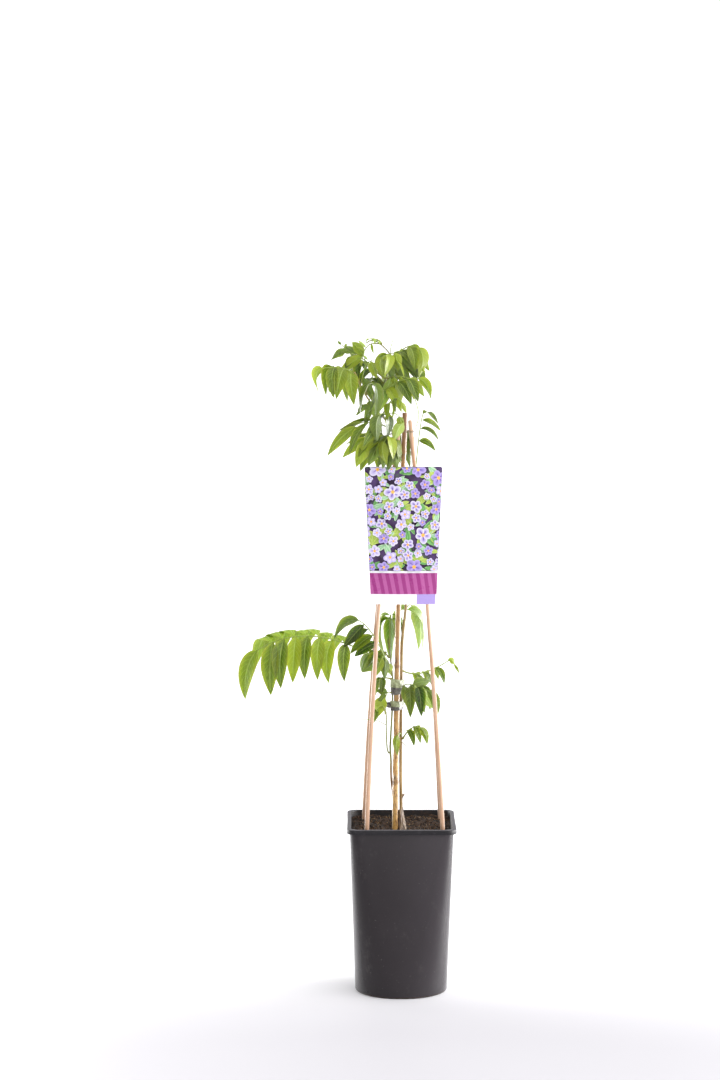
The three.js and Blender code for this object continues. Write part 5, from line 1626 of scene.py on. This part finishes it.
floor_bm = bmesh.new()
bmesh.ops.create_circle(floor_bm, cap_ends=True, segments=96, radius=FLOOR_REACH)
floor_mesh = bpy.data.meshes.new("studio_floor")
floor_bm.to_mesh(floor_mesh)
floor_bm.free()
floor = set_up("studio_floor", floor_mesh)
pale = Finish("pale_floor", Specular_IOR_Level=0.2, Emission_Color=(1, 1, 1, 1))
off_centre = pale.add("VectorMath", {0: pale.place(), 1: FLOOR_CENTRE}, operation="SUBTRACT")
off_centre = pale.stretched(off_centre, FLOOR_STRETCH)
reach = pale.add("VectorMath", {0: off_centre}, 1, operation="LENGTH")
cloud = pale.grain(pale.place(), 3.0)
# The floor is painted darker near the pot and in front of it and paler farther out, where it also glows:
# painted shade round the pot and a painted glow on the far floor.
body = pale.mix(pale.step(reach, 0.2, 0.65), tint(200, 198, 203), tint(242, 241, 244))
pale.feed(pale.shader.inputs["Emission Strength"], pale.step(reach, 0.32, 0.65, 0.0, FLOOR_GLOW))
pale.wear(body, pale.spread(cloud, 0.6, 0.7), cloud, 0.1, 0.2)
floor_mesh.materials.append(pale.material)

world = bpy.data.worlds.new("white_studio")
bpy.context.scene.world = world
world.use_nodes = True
sky = world.node_tree.nodes
wires = world.node_tree.links
way = sky.new("ShaderNodeTexCoord").outputs["Generated"]
toward = sky.new("ShaderNodeVectorMath")
toward.operation = "DOT_PRODUCT"
wires.new(way, toward.inputs[0])
toward.inputs[1].default_value = ROOM_AXIS
backdrop = sky.new("ShaderNodeMapRange")
wires.new(toward.outputs["Value"], backdrop.inputs["Value"])
backdrop.inputs[1].default_value, backdrop.inputs[2].default_value = ROOM_TURN
backdrop.inputs[3].default_value, backdrop.inputs[4].default_value = ROOM_LIGHT
seen = sky.new("ShaderNodeMath")
seen.operation = "MAXIMUM"
wires.new(sky.new("ShaderNodeLightPath").outputs["Is Camera Ray"], seen.inputs[0])
wires.new(backdrop.outputs[0], seen.inputs[1])
sky["Background"].inputs[0].default_value = (1, 1, 1, 1)
wires.new(seen.outputs[0], sky["Background"].inputs[1])

sun = bpy.data.lights.new("key_lamp", "SUN")
sun.energy = KEY_POWER
sun.angle = math.radians(KEY_SOFTNESS)
set_up("key_lamp", sun).rotation_euler = Vector(KEY_WAY).to_track_quat("Z", "Y").to_euler()

for side, (spot, power) in STRIPS.items():
    strip = bpy.data.lights.new(side + "_strip", "AREA")
    strip.shape = "RECTANGLE"
    strip.size, strip.size_y = STRIP_SIZE
    strip.energy = power
    strip_lamp = set_up(side + "_strip", strip)
    strip_lamp.location = spot
    strip_lamp.rotation_euler = (Vector(spot) - Vector(STRIP_AIM)).to_track_quat("Z", "Y").to_euler()
    strip_lamp.visible_diffuse = False

camera_data = bpy.data.cameras.new("camera")
camera_data.lens = CAMERA_LENS
camera_data.sensor_width = CAMERA_FILM
camera_data.clip_end = FLOOR_REACH
camera = set_up("camera", camera_data)
camera.location = CAMERA_PLACE
camera.rotation_euler = (QUARTER - math.radians(CAMERA_PITCH), 0, 0)
bpy.context.scene.camera = camera
bpy.context.scene.view_settings.view_transform = "Standard"
